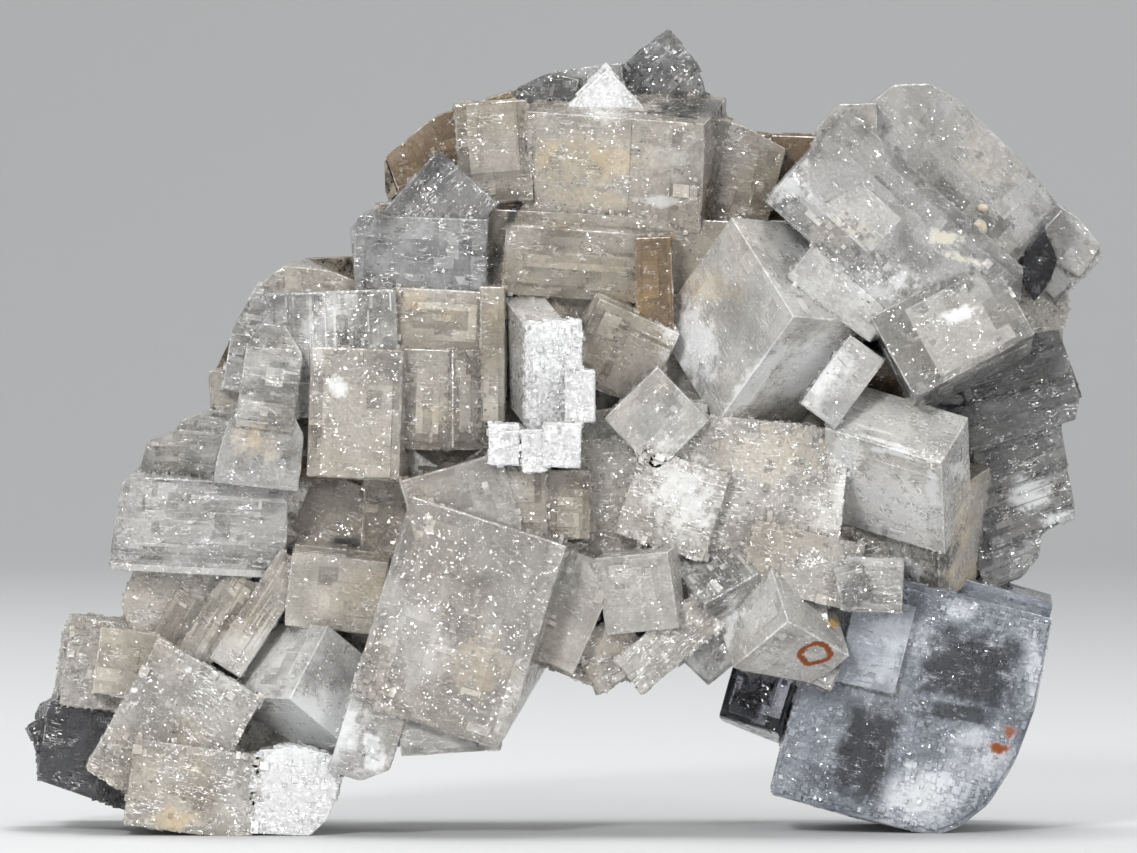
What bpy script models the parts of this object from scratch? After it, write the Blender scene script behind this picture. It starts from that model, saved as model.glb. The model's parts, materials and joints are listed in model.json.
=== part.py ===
"""Halite: a cluster of intergrown rock-salt cubes on a scrap of salt clay.

Every crystal is placed on the front elevation's drawing grid.  A grid step is
0.15 mm.  Steps run across from the left, down from the top, and in depth away
from the viewer; the front crystals stand near depth -250, the back near 100.
"""
import math
import random
from dataclasses import dataclass

import bmesh
import bpy
import numpy as np
from mathutils import Quaternion, Vector

MM = 0.001
WIDTH = 160.0 * MM                # the whole cluster, left foot to right lobe
WIDTH_STEPS = 1067.0              # the same width on the drawing grid
STEP = WIDTH / WIDTH_STEPS        # one grid step, 0.15 mm
MIDDLE_ACROSS = 565.8             # the grid column that stands over the origin
MIDDLE_DEPTH = -65.0              # the depth that stands over the origin
FLOOR_DOWN = 829.0                # the grid row that both feet rest on
FLOOR_THICKNESS = 20.0 * MM       # of the block that flattens the feet
SLIVER = 0.005 * MM               # edges and triangles thinner than this are closed up
GAP = 0.3 * MM                    # clearance between touching pieces
SEED = 7


@dataclass(frozen=True)
class Crystal:
    """A block of salt: its corner and three edges, in grid steps (right, down, away)."""

    name: str
    corner: Vector
    edges: tuple
    cuts: tuple = ()

    def vertices(self, growth=0.0):
        """The block's eight corners, moved out by growth steps on every side."""
        start, spans = self.corner.copy(), []
        for edge in self.edges:
            start -= edge.normalized() * growth
            spans.append(edge.normalized() * (edge.length + 2 * growth))
        return [start + spans[0] * i + spans[1] * j + spans[2] * k
                for i in (0, 1) for j in (0, 1) for k in (0, 1)]


def facing(name, centre, depth, size, roll, yaw=0.0, pitch=0.0, cuts=()):
    """A block whose front face looks at the viewer.

    centre is the middle of the front face, size is (width, height, thickness).
    roll turns it in the elevation, left-handed edge down; yaw swings its right
    side away; pitch leans its top away.  Angles are degrees.
    """
    roll, yaw, pitch = (math.radians(angle) for angle in (roll, yaw, pitch))
    tilt_top = np.array([[1, 0, 0],
                         [0, math.cos(pitch), -math.sin(pitch)],
                         [0, math.sin(pitch), math.cos(pitch)]])
    swing = np.array([[math.cos(yaw), 0, -math.sin(yaw)],
                      [0, 1, 0],
                      [math.sin(yaw), 0, math.cos(yaw)]])
    turn = np.array([[math.cos(roll), -math.sin(roll), 0],
                     [math.sin(roll), math.cos(roll), 0],
                     [0, 0, 1]])
    right, up, away = (turn @ swing @ tilt_top).T
    width, height, thickness = size
    middle = np.array([centre[0], -centre[1], depth])
    corner = middle - right * width / 2 - up * height / 2
    spans = (right * width, up * height, away * thickness)
    return Crystal(name, flip(corner), tuple(flip(span) for span in spans), cuts)


def flip(upright):
    """An upright vector (right, up, away) as grid steps (right, down, away)."""
    return Vector((upright[0], -upright[1], upright[2]))


def cornered(name, corner, depth, edge_a, edge_b, edge_c, cuts=()):
    """A block seen on its nearest corner, from where its three edges run.

    Perpendicular edges a, b, c with elevations of dot products ab, ac, bc must
    recede by a depth whose square is -ab * ac / bc for a, and likewise for b, c.
    """
    flat = [Vector(edge) for edge in (edge_a, edge_b, edge_c)]
    ab, ac, bc = flat[0] @ flat[1], flat[0] @ flat[2], flat[1] @ flat[2]
    depths = (math.sqrt(-ab * ac / bc), math.sqrt(-ab * bc / ac), math.sqrt(-ac * bc / ab))
    spans = tuple(Vector((edge.x, edge.y, away)) for edge, away in zip(flat, depths))
    return Crystal(name, Vector((corner[0], corner[1], depth)), spans, cuts)


RIGHT_FOOT = (
    facing("foot_cube", (914, 704), -150, (233, 240, 190), -14.5, 0, 3,
           cuts=(((1053, 599), (1044, 652)), ((1044, 652), (1035, 700)), ((1035, 700), (1013, 759)),
                 ((1013, 759), (987, 800)), ((987, 800), (959, 822)), ((959, 822), (925, 836)),
                 ((925, 836), (850, 823)), ((850, 823), (768, 791)))),
    facing("foot_plate", (1001, 602), -95, (100, 26, 90), -16, 0, -4, cuts=(((1053, 596), (1052, 621)),)),
    facing("foot_shoulder", (874, 640), -162, (60, 90, 100), -14, 0, 2),
    facing("arch_crystal", (758, 690), -40, (64, 74, 110), -16, -10, 8,
           cuts=(((777, 749), (718, 723)), ((718, 723), (733, 668)))),
)

UNDERSIDE = (
    cornered("rust_cube", (829, 634), -245, (-98, 19), (-10, -75), (19, 25)),
    facing("rust_lip", (806, 662), -178, (62, 26, 80), -24, 0, 8),
    cornered("sparkle_cube", (703, 598), -225, (54, -30), (10, 48), (-33, -40)),
    facing("tooth_right", (712, 632), -190, (80, 68, 100), 40,
           cuts=(((733, 668), (710, 683)), ((710, 683), (681, 655)))),
    facing("tooth_mid", (668, 638), -205, (104, 44, 110), 40),
    facing("tooth_left", (611, 648), -185, (62, 60, 110), 30),
    facing("tooth_stub", (581, 652), -180, (74, 56, 100), -22, cuts=(((603, 686), (552, 665)),)),
    facing("speckled_block", (636, 588), -215, (76, 78, 120), 6, -18, -8),
    facing("bottom_mid", (800, 560), -200, (110, 66, 100), -14),
    facing("under_window", (872, 580), -205, (56, 54, 80), -3),
    facing("small_wedge", (849, 577), -215, (28, 36, 50), 14),
)

LEFT_FOOT = (
    facing("slab_cube", (458, 617), -240, (163, 213, 120), -17.5, -9, -3,
           cuts=(((550, 660), (496, 744)),)),
    facing("slab_foot", (449, 710), -222, (98, 72, 120), 4),
    facing("slab_wing", (570, 606), -205, (56, 112, 110), -24),
    facing("slab_lip", (376, 714), -226, (58, 122, 100), -17,
           cuts=(((420, 752), (340, 782)),)),
    cornered("blue_cube", (292, 692), -225, (-75, 0), (38, -72), (80, 70)),
    facing("sparkle_block", (296, 785), -205, (88, 88, 170), -4),
    facing("rough_foot", (176, 728), -190, (118, 150, 160), -30,
           cuts=(((180, 842), (60, 790)), ((90, 842), (90, 600)))),
    facing("rough_toe", (196, 784), -205, (128, 86, 165), -8,
           cuts=(((150, 836), (90, 800)),)),
    facing("grey_lump_low", (90, 744), -130, (92, 112, 130), -8, 6, 0,
           cuts=(((110, 802), (40, 777)), ((40, 777), (32, 718)), ((32, 718), (36, 708)),
                 ((36, 708), (50, 700)))),
    facing("grey_lump_high", (101, 662), -140, (66, 88, 120), -6, 6, 0,
           cuts=(((50, 700), (63, 632)), ((63, 632), (72, 614)))),
    facing("grey_step", (66, 742), -112, (56, 60, 90), 24),
    facing("foot_bridge", (128, 660), -160, (58, 66, 110), -8),
    facing("left_slab", (200, 524), -170, (176, 94, 120), -3, 3, -4,
           cuts=(((110, 566), (124, 481)), ((124, 481), (138, 467)))),
    facing("under_slab", (167, 600), -140, (118, 88, 150), -14,
           cuts=(((113, 622), (122, 600)), ((122, 600), (110, 566)))),
    facing("cavity_sill", (338, 590), -178, (96, 74, 110), -6, 0, -8),
)

STAIR_PLACES = (((262, 610), -172), ((212, 628), -158), ((163, 650), -150))
STAIRS = tuple(facing(f"stair_{number}", place, depth, (36, 128, 130), -34 + number)
               for number, (place, depth) in enumerate(STAIR_PLACES, start=1))

UPPER_LEFT = (
    facing("ledge_left", (188, 450), -130, (92, 44, 110), -3, 0, -5,
           cuts=(((143, 462), (148, 440)), ((148, 440), (190, 424)))),
    facing("ledge_step", (205, 427), -125, (56, 38, 90), -3, 0, 0,
           cuts=(((175, 432), (182, 418)), ((182, 418), (212, 408)))),
    facing("amber_block", (262, 446), -195, (84, 74, 100), -6,
           cuts=(((214, 470), (236, 404)), ((292, 404), (310, 440)))),
    facing("far_left", (234, 397), -120, (44, 58, 80), 4),
    facing("left_shoulder", (262, 338), -140, (60, 108, 100), -9,
           cuts=(((232, 330), (262, 276)),)),
    facing("cleaved_mass", (334, 352), -170, (130, 124, 120), 2),
    facing("edge_plate", (356, 410), -190, (92, 128, 100), -2, -8, 0),
    facing("arched_shell", (273, 374), -200, (56, 104, 80), -8, 0, 0,
           cuts=(((242, 352), (266, 318)), ((284, 318), (304, 350)))),
    facing("brown_top", (312, 298), -140, (100, 62, 110), -6, 0, -5,
           cuts=(((257, 286), (287, 263)), ((287, 263), (306, 259)), ((306, 259), (368, 284)))),
    cornered("beige_cube", (450, 415), -180, (28, -66), (-45, 28), (39, 28)),
    facing("beige_upper", (440, 318), -158, (88, 60, 100), -3),
    facing("see_through", (421, 270), -150, (132, 108, 120), -2, 4, -5,
           cuts=(((353, 262), (349, 230)), ((349, 230), (362, 213)), ((362, 213), (388, 204)))),
    facing("diamond", (441, 207), -135, (82, 80, 120), 48),
    facing("ridge_left", (458, 150), -70, (140, 80, 150), 20, 0, 0,
           cuts=(((386, 196), (382, 160)), ((382, 160), (433, 117)), ((433, 117), (516, 89)))),
    facing("ridge_face", (494, 152), -100, (72, 100, 120), 4),
    facing("shaded_column", (493, 352), -165, (24, 134, 100), 0),
)

TOP = (
    facing("top_box", (612, 172), -110, (182, 112, 140), -4, -9, -11),
    facing("peak", (664, 84), 0, (76, 78, 100), 40, 0, 0,
           cuts=(((622, 66), (668, 32)), ((668, 32), (679, 34)), ((679, 34), (699, 67)),
                 ((699, 67), (706, 92)))),
    facing("peak_root", (690, 118), 5, (80, 50, 90), -10, 0, 0, cuts=(((705, 89), (727, 116)),)),
    facing("white_point", (607, 108), -78, (54, 56, 60), 43),
    facing("white_bar", (594, 84), -62, (11, 40, 60), -45),
    facing("top_small_1", (544, 98), -50, (58, 52, 90), -14, 0, 0,
           cuts=(((515, 89), (549, 73)), ((549, 73), (575, 69)))),
    facing("top_small_2", (590, 88), -40, (66, 46, 80), 3, 0, 0, cuts=(((575, 69), (602, 65)),)),
    facing("brown_block", (735, 174), -70, (86, 98, 140), -14, 0, -2,
           cuts=(((724, 115), (768, 139)),)),
    facing("brown_back", (785, 178), -40, (90, 84, 140), -2),
    facing("ledge_block", (587, 264), -140, (166, 70, 140), -4, 0, -8),
    facing("ledge_end", (654, 282), -152, (36, 92, 120), 2),
)

UPPER_RIGHT = (
    facing("upper_main", (899, 239), -215, (255, 122, 150), -42),
    facing("upper_notch", (845, 140), -196, (60, 74, 100), 2, 0, 0,
           cuts=(((804, 138), (837, 103)), ((837, 103), (869, 102)))),
    facing("upper_back", (941, 179), -170, (216, 140, 150), -42, 0, 0,
           cuts=(((869, 102), (892, 84)), ((892, 84), (927, 83)), ((927, 83), (955, 98)),
                 ((955, 98), (1019, 159)), ((1019, 159), (1054, 202)))),
    facing("upper_low", (949, 322), -225, (135, 92, 120), 28, 6, 10),
    facing("upper_join", (836, 278), -228, (92, 88, 100), 8),
    facing("lobe", (1054, 254), -120, (70, 66, 100), -45),
    facing("lobe_cap", (1066, 240), -126, (60, 50, 90), -32, 0, 0,
           cuts=(((1054, 202), (1074, 214)), ((1074, 214), (1097, 242)), ((1097, 242), (1099, 260)),
                 ((1099, 260), (1079, 275)))),
    facing("lobe_knob", (1044, 304), -112, (56, 52, 80), 8, 0, 0,
           cuts=(((1067, 280), (1068, 316)), ((1068, 316), (1059, 333)))),
    facing("dark_clear", (1016, 368), -100, (116, 88, 120), 16, 0, 0,
           cuts=(((1059, 333), (1080, 392)),)),
    facing("mid_right", (1014, 414), -110, (132, 44, 120), 16, 0, 0,
           cuts=(((1080, 392), (1074, 419)), ((1074, 419), (1058, 424)))),
    facing("stack_top", (1022, 452), -95, (96, 54, 120), 20, 0, 0, cuts=(((1060, 423), (1067, 464)),)),
    facing("stack_mid", (1028, 504), -90, (98, 60, 120), 20, 0, 0,
           cuts=(((1066, 464), (1075, 508)), ((1075, 508), (1074, 520)), ((1074, 520), (1041, 540)))),
    facing("stack_low", (1010, 550), -85, (72, 58, 110), 20, 0, 0,
           cuts=(((1041, 539), (1039, 556)), ((1039, 556), (1017, 583)))),
)

FRONT = (
    cornered("window_cube", (937, 458), -250, (-115, -34), (28, -45), (6, 94),
             cuts=(((990, 510), (950, 566)), ((900, 560), (820, 520)))),
    cornered("window_base", (936, 500), -222, (-95, -24), (54, -34), (2, 102)),
    cornered("corner_cube", (791, 312), -255, (-61, -97), (-76, 109), (79, 8)),
    facing("strip_plate", (848, 378), -215, (26, 74, 90), -36),
    facing("beige_facet", (622, 352), -160, (88, 84, 100), -24, 8, -8),
    facing("pointed", (656, 416), -200, (74, 74, 90), 44),
    cornered("tall_crystal", (527, 322), -240, (-25, -28), (40, -2), (0, 102)),
    facing("tall_step_1", (574, 342), -228, (15, 50, 90), 0),
    facing("tall_step_2", (580, 392), -231, (29, 51, 100), 0),
    facing("tall_foot_1", (505, 440), -236, (30, 40, 80), 0),
    facing("tall_foot_2", (534, 446), -241, (23, 42, 80), 2),
    facing("tall_foot_3", (562, 440), -245, (37, 44, 80), -2),
    facing("pillar_1", (524, 492), -212, (46, 76, 90), 1),
    facing("pillar_2", (568, 500), -206, (44, 68, 90), -1),
    facing("left_point", (462, 500), -218, (104, 78, 120), 16),
    facing("granular", (742, 486), -185, (200, 140, 120), -6),
    facing("sparkle_patch", (672, 500), -200, (92, 90, 110), -18),
    facing("lower_centre", (630, 500), -175, (160, 190, 120), 4),
)

ROOT = (
    facing("cavity_back", (362, 512), -110, (112, 92, 100), -26),
    facing("root_middle", (620, 400), -120, (500, 370, 150), -3, 2, 3),
    facing("root_left", (290, 590), -120, (290, 250, 140), -22, -3, 0),
    facing("root_right", (930, 420), -110, (160, 410, 160), 0, 3, -2),
    facing("root_foot", (205, 728), -120, (190, 150, 140), -10, 0, 2),
    facing("root_under", (700, 560), -150, (150, 90, 150), 0),
    facing("root_amber", (318, 436), -138, (64, 84, 90), 2),
    facing("root_teeth", (664, 616), -118, (150, 62, 120), 0),
    facing("root_ridge", (560, 250), -85, (300, 140, 150), 0),
    facing("root_window", (880, 500), -170, (120, 120, 150), 0),
)

CLUSTER = (RIGHT_FOOT + UNDERSIDE + LEFT_FOOT + STAIRS + UPPER_LEFT + TOP
           + UPPER_RIGHT + FRONT + ROOT)


def to_metres(steps):
    """A point in grid steps (right, down, away) as world metres."""
    return Vector((steps.x - MIDDLE_ACROSS, steps.z - MIDDLE_DEPTH, FLOOR_DOWN - steps.y)) * STEP


def block_mesh(name, crystal, growth=0.0):
    """The crystal's closed box, with its cuts taken off."""
    shape = bmesh.new()
    corners = [shape.verts.new(to_metres(place)) for place in crystal.vertices(growth)]
    for quad in ((0, 1, 3, 2), (4, 6, 7, 5), (0, 4, 5, 1), (2, 3, 7, 6), (0, 2, 6, 4), (1, 5, 7, 3)):
        shape.faces.new([corners[index] for index in quad])
    for start, end in crystal.cuts:
        take_off(shape, start, end)
    bmesh.ops.recalc_face_normals(shape, faces=shape.faces)
    mesh = bpy.data.meshes.new(name)
    shape.to_mesh(mesh)
    shape.free()
    return mesh


def take_off(shape, start, end):
    """Cut away what lies to the left of the line from start to end in the elevation."""
    first = to_metres(Vector((start[0], start[1], 0.0)))
    last = to_metres(Vector((end[0], end[1], 0.0)))
    along = last - first
    outward = Vector((-along.z, 0.0, along.x)).normalized()
    everything = shape.verts[:] + shape.edges[:] + shape.faces[:]
    cut = bmesh.ops.bisect_plane(shape, geom=everything, plane_co=first, plane_no=outward,
                                 clear_outer=True, dist=1e-7)
    rim = [item for item in cut["geom_cut"] if isinstance(item, bmesh.types.BMEdge)]
    if rim:
        bmesh.ops.contextual_create(shape, geom=rim)


@dataclass(frozen=True)
class Crumbs:
    """Small cubes grown on one crystal's front: how many, and their size range in steps."""

    host: str
    count: int
    smallest: float
    largest: float


CRUMB_PATCHES = (
    Crumbs("granular", 16, 12, 26),
    Crumbs("sparkle_patch", 9, 10, 20),
    Crumbs("lower_centre", 9, 12, 24),
    Crumbs("root_middle", 10, 24, 44),
    Crumbs("rough_foot", 9, 12, 26),
    Crumbs("rough_toe", 7, 14, 28),
    Crumbs("sparkle_block", 8, 12, 26),
    Crumbs("grey_lump_low", 6, 14, 28),
    Crumbs("under_slab", 5, 12, 24),
    Crumbs("stack_mid", 4, 10, 18),
    Crumbs("slab_foot", 4, 10, 20),
)

PLATE_RISE = (2.0, 5.0)          # how proud a growth plate stands, in steps
PLATE_ROOT = 9.0                  # how deep it is rooted
PLATE_INSET = 1.6                 # how far it stays in from the crystal's edge
PLATED_LENGTH = 60.0              # a face with a shorter side grows no plate


def front_faces(crystal):
    """The crystal's faces that look at the viewer: origin, two spans, outward direction."""
    for index in range(3):
        out = crystal.edges[index].normalized()
        origin = crystal.corner.copy()
        if out.z > 0:
            out = -out
        else:
            origin += crystal.edges[index]
        if out.z < -0.15:
            yield origin, crystal.edges[index - 2], crystal.edges[index - 1], out


def growth_plates(crystal, chance):
    """One low plate on each large front face, growing in from one of its edges."""
    for number, (origin, first, second, out) in enumerate(front_faces(crystal), start=1):
        spread = [chance.uniform(0.35, 0.75), 1.0]
        chance.shuffle(spread)
        sides = [span.length - 2 * PLATE_INSET for span in (first, second)]
        starts = [side * (1 - part) * chance.choice((0, 1)) for side, part in zip(sides, spread)]
        rise = chance.uniform(*PLATE_RISE)
        if min(first.length, second.length) < PLATED_LENGTH:
            continue
        corner = origin - out * PLATE_ROOT
        corner += first.normalized() * (PLATE_INSET + starts[0])
        corner += second.normalized() * (PLATE_INSET + starts[1])
        yield Crystal(f"{crystal.name}_plate_{number}", corner,
                      (first.normalized() * sides[0] * spread[0],
                       second.normalized() * sides[1] * spread[1],
                       out * (PLATE_ROOT + rise)))


def crumbs_on(crystal, patch, chance):
    """Small cubes half sunk in the crystal's front, each turned a little from its host."""
    origin, first, second, out = max(front_faces(crystal), key=lambda face: -face[3].z)
    for number in range(1, patch.count + 1):
        size = chance.uniform(patch.smallest, patch.largest)
        place = origin + first * chance.uniform(0.1, 0.9) + second * chance.uniform(0.1, 0.9)
        place -= out * size * chance.uniform(0.1, 0.35)
        turned = [axis.copy() for axis in (first.normalized(), second.normalized(), out)]
        twist_axis = Vector((chance.uniform(-0.3, 0.3), chance.uniform(-0.3, 0.3), 1.0))
        twist = Quaternion(twist_axis, chance.uniform(-0.6, 0.6))
        for axis in turned:
            axis.rotate(twist)
        edges = tuple(axis * size * chance.uniform(0.8, 1.25) for axis in turned)
        yield Crystal(f"{patch.host}_crumb_{number}", place - sum(edges, Vector()) / 2, edges)


BACK_PLACES = ((880, 250), (1000, 390), (930, 500), (800, 545), (690, 560), (585, 560), (470, 640),
               (390, 560), (290, 600), (220, 700), (140, 690), (790, 410), (690, 440), (620, 330),
               (730, 300), (860, 350), (930, 680), (860, 640), (980, 300), (560, 450), (420, 700))
BACK_DEPTH = (62.0, 118.0)        # how far back the crystals of the back reach
BACK_SIZE = (74.0, 116.0)
BACK_FRONT = -40.0                # where they are rooted


def back_crystals(chance):
    """Cubes that close the back of the cluster, each a little out of line."""
    for number, place in enumerate(BACK_PLACES, start=1):
        width, height = chance.uniform(*BACK_SIZE), chance.uniform(*BACK_SIZE)
        reach = chance.uniform(*BACK_DEPTH)
        yield facing(f"back_{number}", place, BACK_FRONT, (width, height, reach - BACK_FRONT),
                     chance.uniform(-35, 35), chance.uniform(-18, 18), chance.uniform(-18, 18))


CLAY_FRONT = -30.0                # depth where the salt clay begins between the crystals
CLAY_BACK = 104.0                 # and where it was broken off
CLAY_TAPER = 0.86                 # how much smaller the broken back is
CLAY_LUMPS = (
    ((215, 404), (216, 368), (227, 346), (236, 320), (304, 260), (352, 258), (430, 300), (440, 430),
     (300, 452)),
    ((385, 192), (384, 162), (434, 118), (516, 91), (640, 112), (650, 270), (440, 330)),
    ((420, 250), (640, 240), (650, 380), (560, 440), (420, 440)),
)


@dataclass(frozen=True)
class Grain:
    """A loose anhydrite grain in its socket: middle, depth of middle, and radii in steps."""

    name: str
    middle: tuple
    depth: float
    radii: tuple


GRAINS = (
    Grain("anhydrite_grain_upper", (980, 206), -173.0, (6.5, 5.2, 4.6)),
    Grain("anhydrite_grain_lower", (977, 226), -174.0, (8.0, 5.4, 9.4)),
)


def grain_mesh(grain, growth=0.0):
    """A faceted egg: an icosphere stretched to the grain's radii plus growth steps."""
    shape = bmesh.new()
    bmesh.ops.create_icosphere(shape, subdivisions=1, radius=1.0)
    middle = to_metres(Vector((grain.middle[0], grain.middle[1], grain.depth)))
    spread = [(radius + growth) * STEP for radius in grain.radii]
    bmesh.ops.scale(shape, verts=shape.verts, vec=spread)
    bmesh.ops.rotate(shape, verts=shape.verts, matrix=Quaternion((0.3, 1.0, 0.2), 0.4).to_matrix())
    bmesh.ops.translate(shape, verts=shape.verts, vec=middle)
    mesh = bpy.data.meshes.new(grain.name)
    shape.to_mesh(mesh)
    shape.free()
    return mesh


def clay_lump(name, outline):
    """A lump of clay: its outline at CLAY_FRONT drawn in to a smaller broken back."""
    shape = bmesh.new()
    middle = sum((Vector(point) for point in outline), Vector((0.0, 0.0))) / len(outline)
    rings = []
    for depth, spread in ((CLAY_FRONT, 1.0), (CLAY_BACK / 2, 1.0), (CLAY_BACK, CLAY_TAPER)):
        places = [middle + (Vector(point) - middle) * spread for point in outline]
        rings.append([shape.verts.new(to_metres(Vector((*place, depth)))) for place in places])
    for near, far in zip(rings, rings[1:]):
        for index in range(len(outline)):
            after = (index + 1) % len(outline)
            shape.faces.new((near[index], near[after], far[after], far[index]))
    shape.faces.new(rings[0])
    shape.faces.new(rings[-1])
    bmesh.ops.recalc_face_normals(shape, faces=shape.faces)
    mesh = bpy.data.meshes.new(name)
    shape.to_mesh(mesh)
    shape.free()
    return mesh


def new_object(name, mesh, collection):
    """An object of the mesh, in the collection."""
    item = bpy.data.objects.new(name, mesh)
    collection.objects.link(item)
    return item


def hidden(item):
    """Mark a construction solid, which is no part of the object."""
    item.hide_render = True
    item.display_type = 'WIRE'
    return item


def boolean(item, name, operation, tool):
    """Add a Boolean modifier whose tool is an object or a collection."""
    modifier = item.modifiers.new(name, 'BOOLEAN')
    modifier.operation = operation
    modifier.solver = 'EXACT'
    if isinstance(tool, bpy.types.Collection):
        modifier.operand_type = 'COLLECTION'
        modifier.collection = tool
    else:
        modifier.object = tool


def settle(item):
    """Apply the modifiers and keep the outer body: pockets sealed between crystals are filled."""
    graph = bpy.context.evaluated_depsgraph_get()
    mesh = bpy.data.meshes.new_from_object(item.evaluated_get(graph))
    item.modifiers.clear()
    item.data = mesh
    shape = bmesh.new()
    shape.from_mesh(mesh)
    unseen, bodies = set(shape.verts), []
    while unseen:
        body, edge_of_body = set(), [unseen.pop()]
        while edge_of_body:
            vertex = edge_of_body.pop()
            body.add(vertex)
            near = {link.other_vert(vertex) for link in vertex.link_edges} & unseen
            unseen -= near
            edge_of_body.extend(near)
        bodies.append(body)
    outer = max(bodies, key=len)
    pockets = [vertex for vertex in shape.verts if vertex not in outer]
    bmesh.ops.delete(shape, geom=pockets, context='VERTS')
    bmesh.ops.triangulate(shape, faces=shape.faces)
    bmesh.ops.remove_doubles(shape, verts=shape.verts, dist=SLIVER)
    bmesh.ops.dissolve_degenerate(shape, edges=shape.edges, dist=SLIVER)
    bmesh.ops.triangulate(shape, faces=shape.faces)
    shape.to_mesh(mesh)
    shape.free()


def finish(item, name, colour, roughness, **extra):
    """Give the object its own Principled material."""
    material = bpy.data.materials.new(name)
    material.use_nodes = True
    shader = material.node_tree.nodes["Principled BSDF"]
    shader.inputs["Base Color"].default_value = (*colour, 1.0)
    shader.inputs["Roughness"].default_value = roughness
    for socket, value in extra.items():
        shader.inputs[socket.replace("_", " ")].default_value = value
    item.data.materials.append(material)


def tool_collection(name):
    """A collection for construction solids."""
    collection = bpy.data.collections.new(name)
    bpy.context.scene.collection.children.link(collection)
    return collection


def floor_block(collection):
    """Everything below the plane that the feet rest on."""
    shape = bmesh.new()
    bmesh.ops.create_cube(shape, size=1.0)
    bmesh.ops.scale(shape, verts=shape.verts, vec=(2 * WIDTH, 2 * WIDTH, FLOOR_THICKNESS))
    bmesh.ops.translate(shape, verts=shape.verts, vec=(0.0, 0.0, -FLOOR_THICKNESS / 2))
    mesh = bpy.data.meshes.new("floor_cut")
    shape.to_mesh(mesh)
    shape.free()
    return hidden(new_object("floor_cut", mesh, collection))


def build_cluster(scene_collection, crystals, grown):
    """All crystals grown into one body with sockets for the grains, on flat feet."""
    tools = tool_collection("crystals")
    for crystal in crystals[1:] + grown:
        hidden(new_object("tool_" + crystal.name, block_mesh(crystal.name, crystal), tools))
    sockets = tool_collection("sockets")
    for grain in GRAINS:
        hidden(new_object("socket_" + grain.name, grain_mesh(grain, GAP / STEP), sockets))
    cluster = new_object("halite_cluster", block_mesh("halite_cluster", crystals[0]), scene_collection)
    boolean(cluster, "grown together", 'UNION', tools)
    boolean(cluster, "grain sockets", 'DIFFERENCE', sockets)
    boolean(cluster, "flat feet", 'DIFFERENCE', floor_block(tool_collection("floor")))
    settle(cluster)
    finish(cluster, "milky rock salt", (0.78, 0.75, 0.70), 0.25, IOR=1.544, Transmission_Weight=0.3)


def build_clay(scene_collection, crystals):
    """The salt clay behind the upper left, with room for every crystal rooted in it."""
    room = tool_collection("room in the clay")
    for crystal in crystals:
        if max(corner.z for corner in crystal.vertices()) > CLAY_FRONT - GAP / STEP:
            grown = block_mesh("room_" + crystal.name, crystal, GAP / STEP)
            hidden(new_object("room_" + crystal.name, grown, room))
    lumps = tool_collection("clay lumps")
    for number, outline in enumerate(CLAY_LUMPS[1:], start=2):
        hidden(new_object(f"clay_lump_{number}", clay_lump(f"clay_lump_{number}", outline), lumps))
    clay = new_object("clay_matrix", clay_lump("clay_matrix", CLAY_LUMPS[0]), scene_collection)
    boolean(clay, "one clay", 'UNION', lumps)
    boolean(clay, "crystals", 'DIFFERENCE', room)
    settle(clay)
    finish(clay, "salt clay", (0.22, 0.18, 0.13), 0.85)


def build_grains(scene_collection):
    """The two cream grains caught on the upper crystals."""
    for grain in GRAINS:
        item = new_object(grain.name, grain_mesh(grain), scene_collection)
        finish(item, grain.name, (0.72, 0.66, 0.52), 0.6)


def main():
    for item in list(bpy.data.objects):
        bpy.data.objects.remove(item, do_unlink=True)
    chance = random.Random(SEED)
    crystals = list(CLUSTER) + list(back_crystals(chance))
    hosts = {crystal.name: crystal for crystal in crystals}
    grown = []
    for crystal in CLUSTER:
        if crystal not in ROOT and not crystal.cuts:
            grown.extend(growth_plates(crystal, chance))
    for patch in CRUMB_PATCHES:
        grown.extend(crumbs_on(hosts[patch.host], patch, chance))
    build_cluster(bpy.context.scene.collection, crystals, grown)
    build_clay(bpy.context.scene.collection, crystals)
    build_grains(bpy.context.scene.collection)


main()
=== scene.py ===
"""The dressed halite cluster: every crystal with its growth steps, its clouds, stains and specks.

Crystals are placed on the part's drawing grid.  A grid step is 0.15 mm.  Steps run across
from the left, down from the top, and in depth away from the front.
"""

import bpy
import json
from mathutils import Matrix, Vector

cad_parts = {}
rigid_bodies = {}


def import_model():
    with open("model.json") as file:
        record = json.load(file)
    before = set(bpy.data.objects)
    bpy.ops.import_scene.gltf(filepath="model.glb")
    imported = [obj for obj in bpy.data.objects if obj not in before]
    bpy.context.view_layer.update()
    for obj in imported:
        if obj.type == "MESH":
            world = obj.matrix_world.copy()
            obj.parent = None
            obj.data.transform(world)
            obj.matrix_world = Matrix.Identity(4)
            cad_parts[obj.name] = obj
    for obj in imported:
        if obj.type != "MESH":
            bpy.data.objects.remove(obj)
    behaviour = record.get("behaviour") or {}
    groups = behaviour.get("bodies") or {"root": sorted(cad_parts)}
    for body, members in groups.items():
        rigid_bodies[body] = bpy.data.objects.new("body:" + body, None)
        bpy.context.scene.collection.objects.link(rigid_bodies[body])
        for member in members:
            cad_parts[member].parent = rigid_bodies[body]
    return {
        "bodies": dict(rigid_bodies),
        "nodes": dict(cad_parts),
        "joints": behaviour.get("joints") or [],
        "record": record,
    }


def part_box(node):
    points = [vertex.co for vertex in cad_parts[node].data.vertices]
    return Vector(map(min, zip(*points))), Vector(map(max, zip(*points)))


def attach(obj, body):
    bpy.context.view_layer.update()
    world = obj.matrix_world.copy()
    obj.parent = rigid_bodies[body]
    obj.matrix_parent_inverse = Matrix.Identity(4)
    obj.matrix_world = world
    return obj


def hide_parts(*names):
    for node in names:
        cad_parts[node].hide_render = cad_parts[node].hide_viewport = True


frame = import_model()

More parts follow.
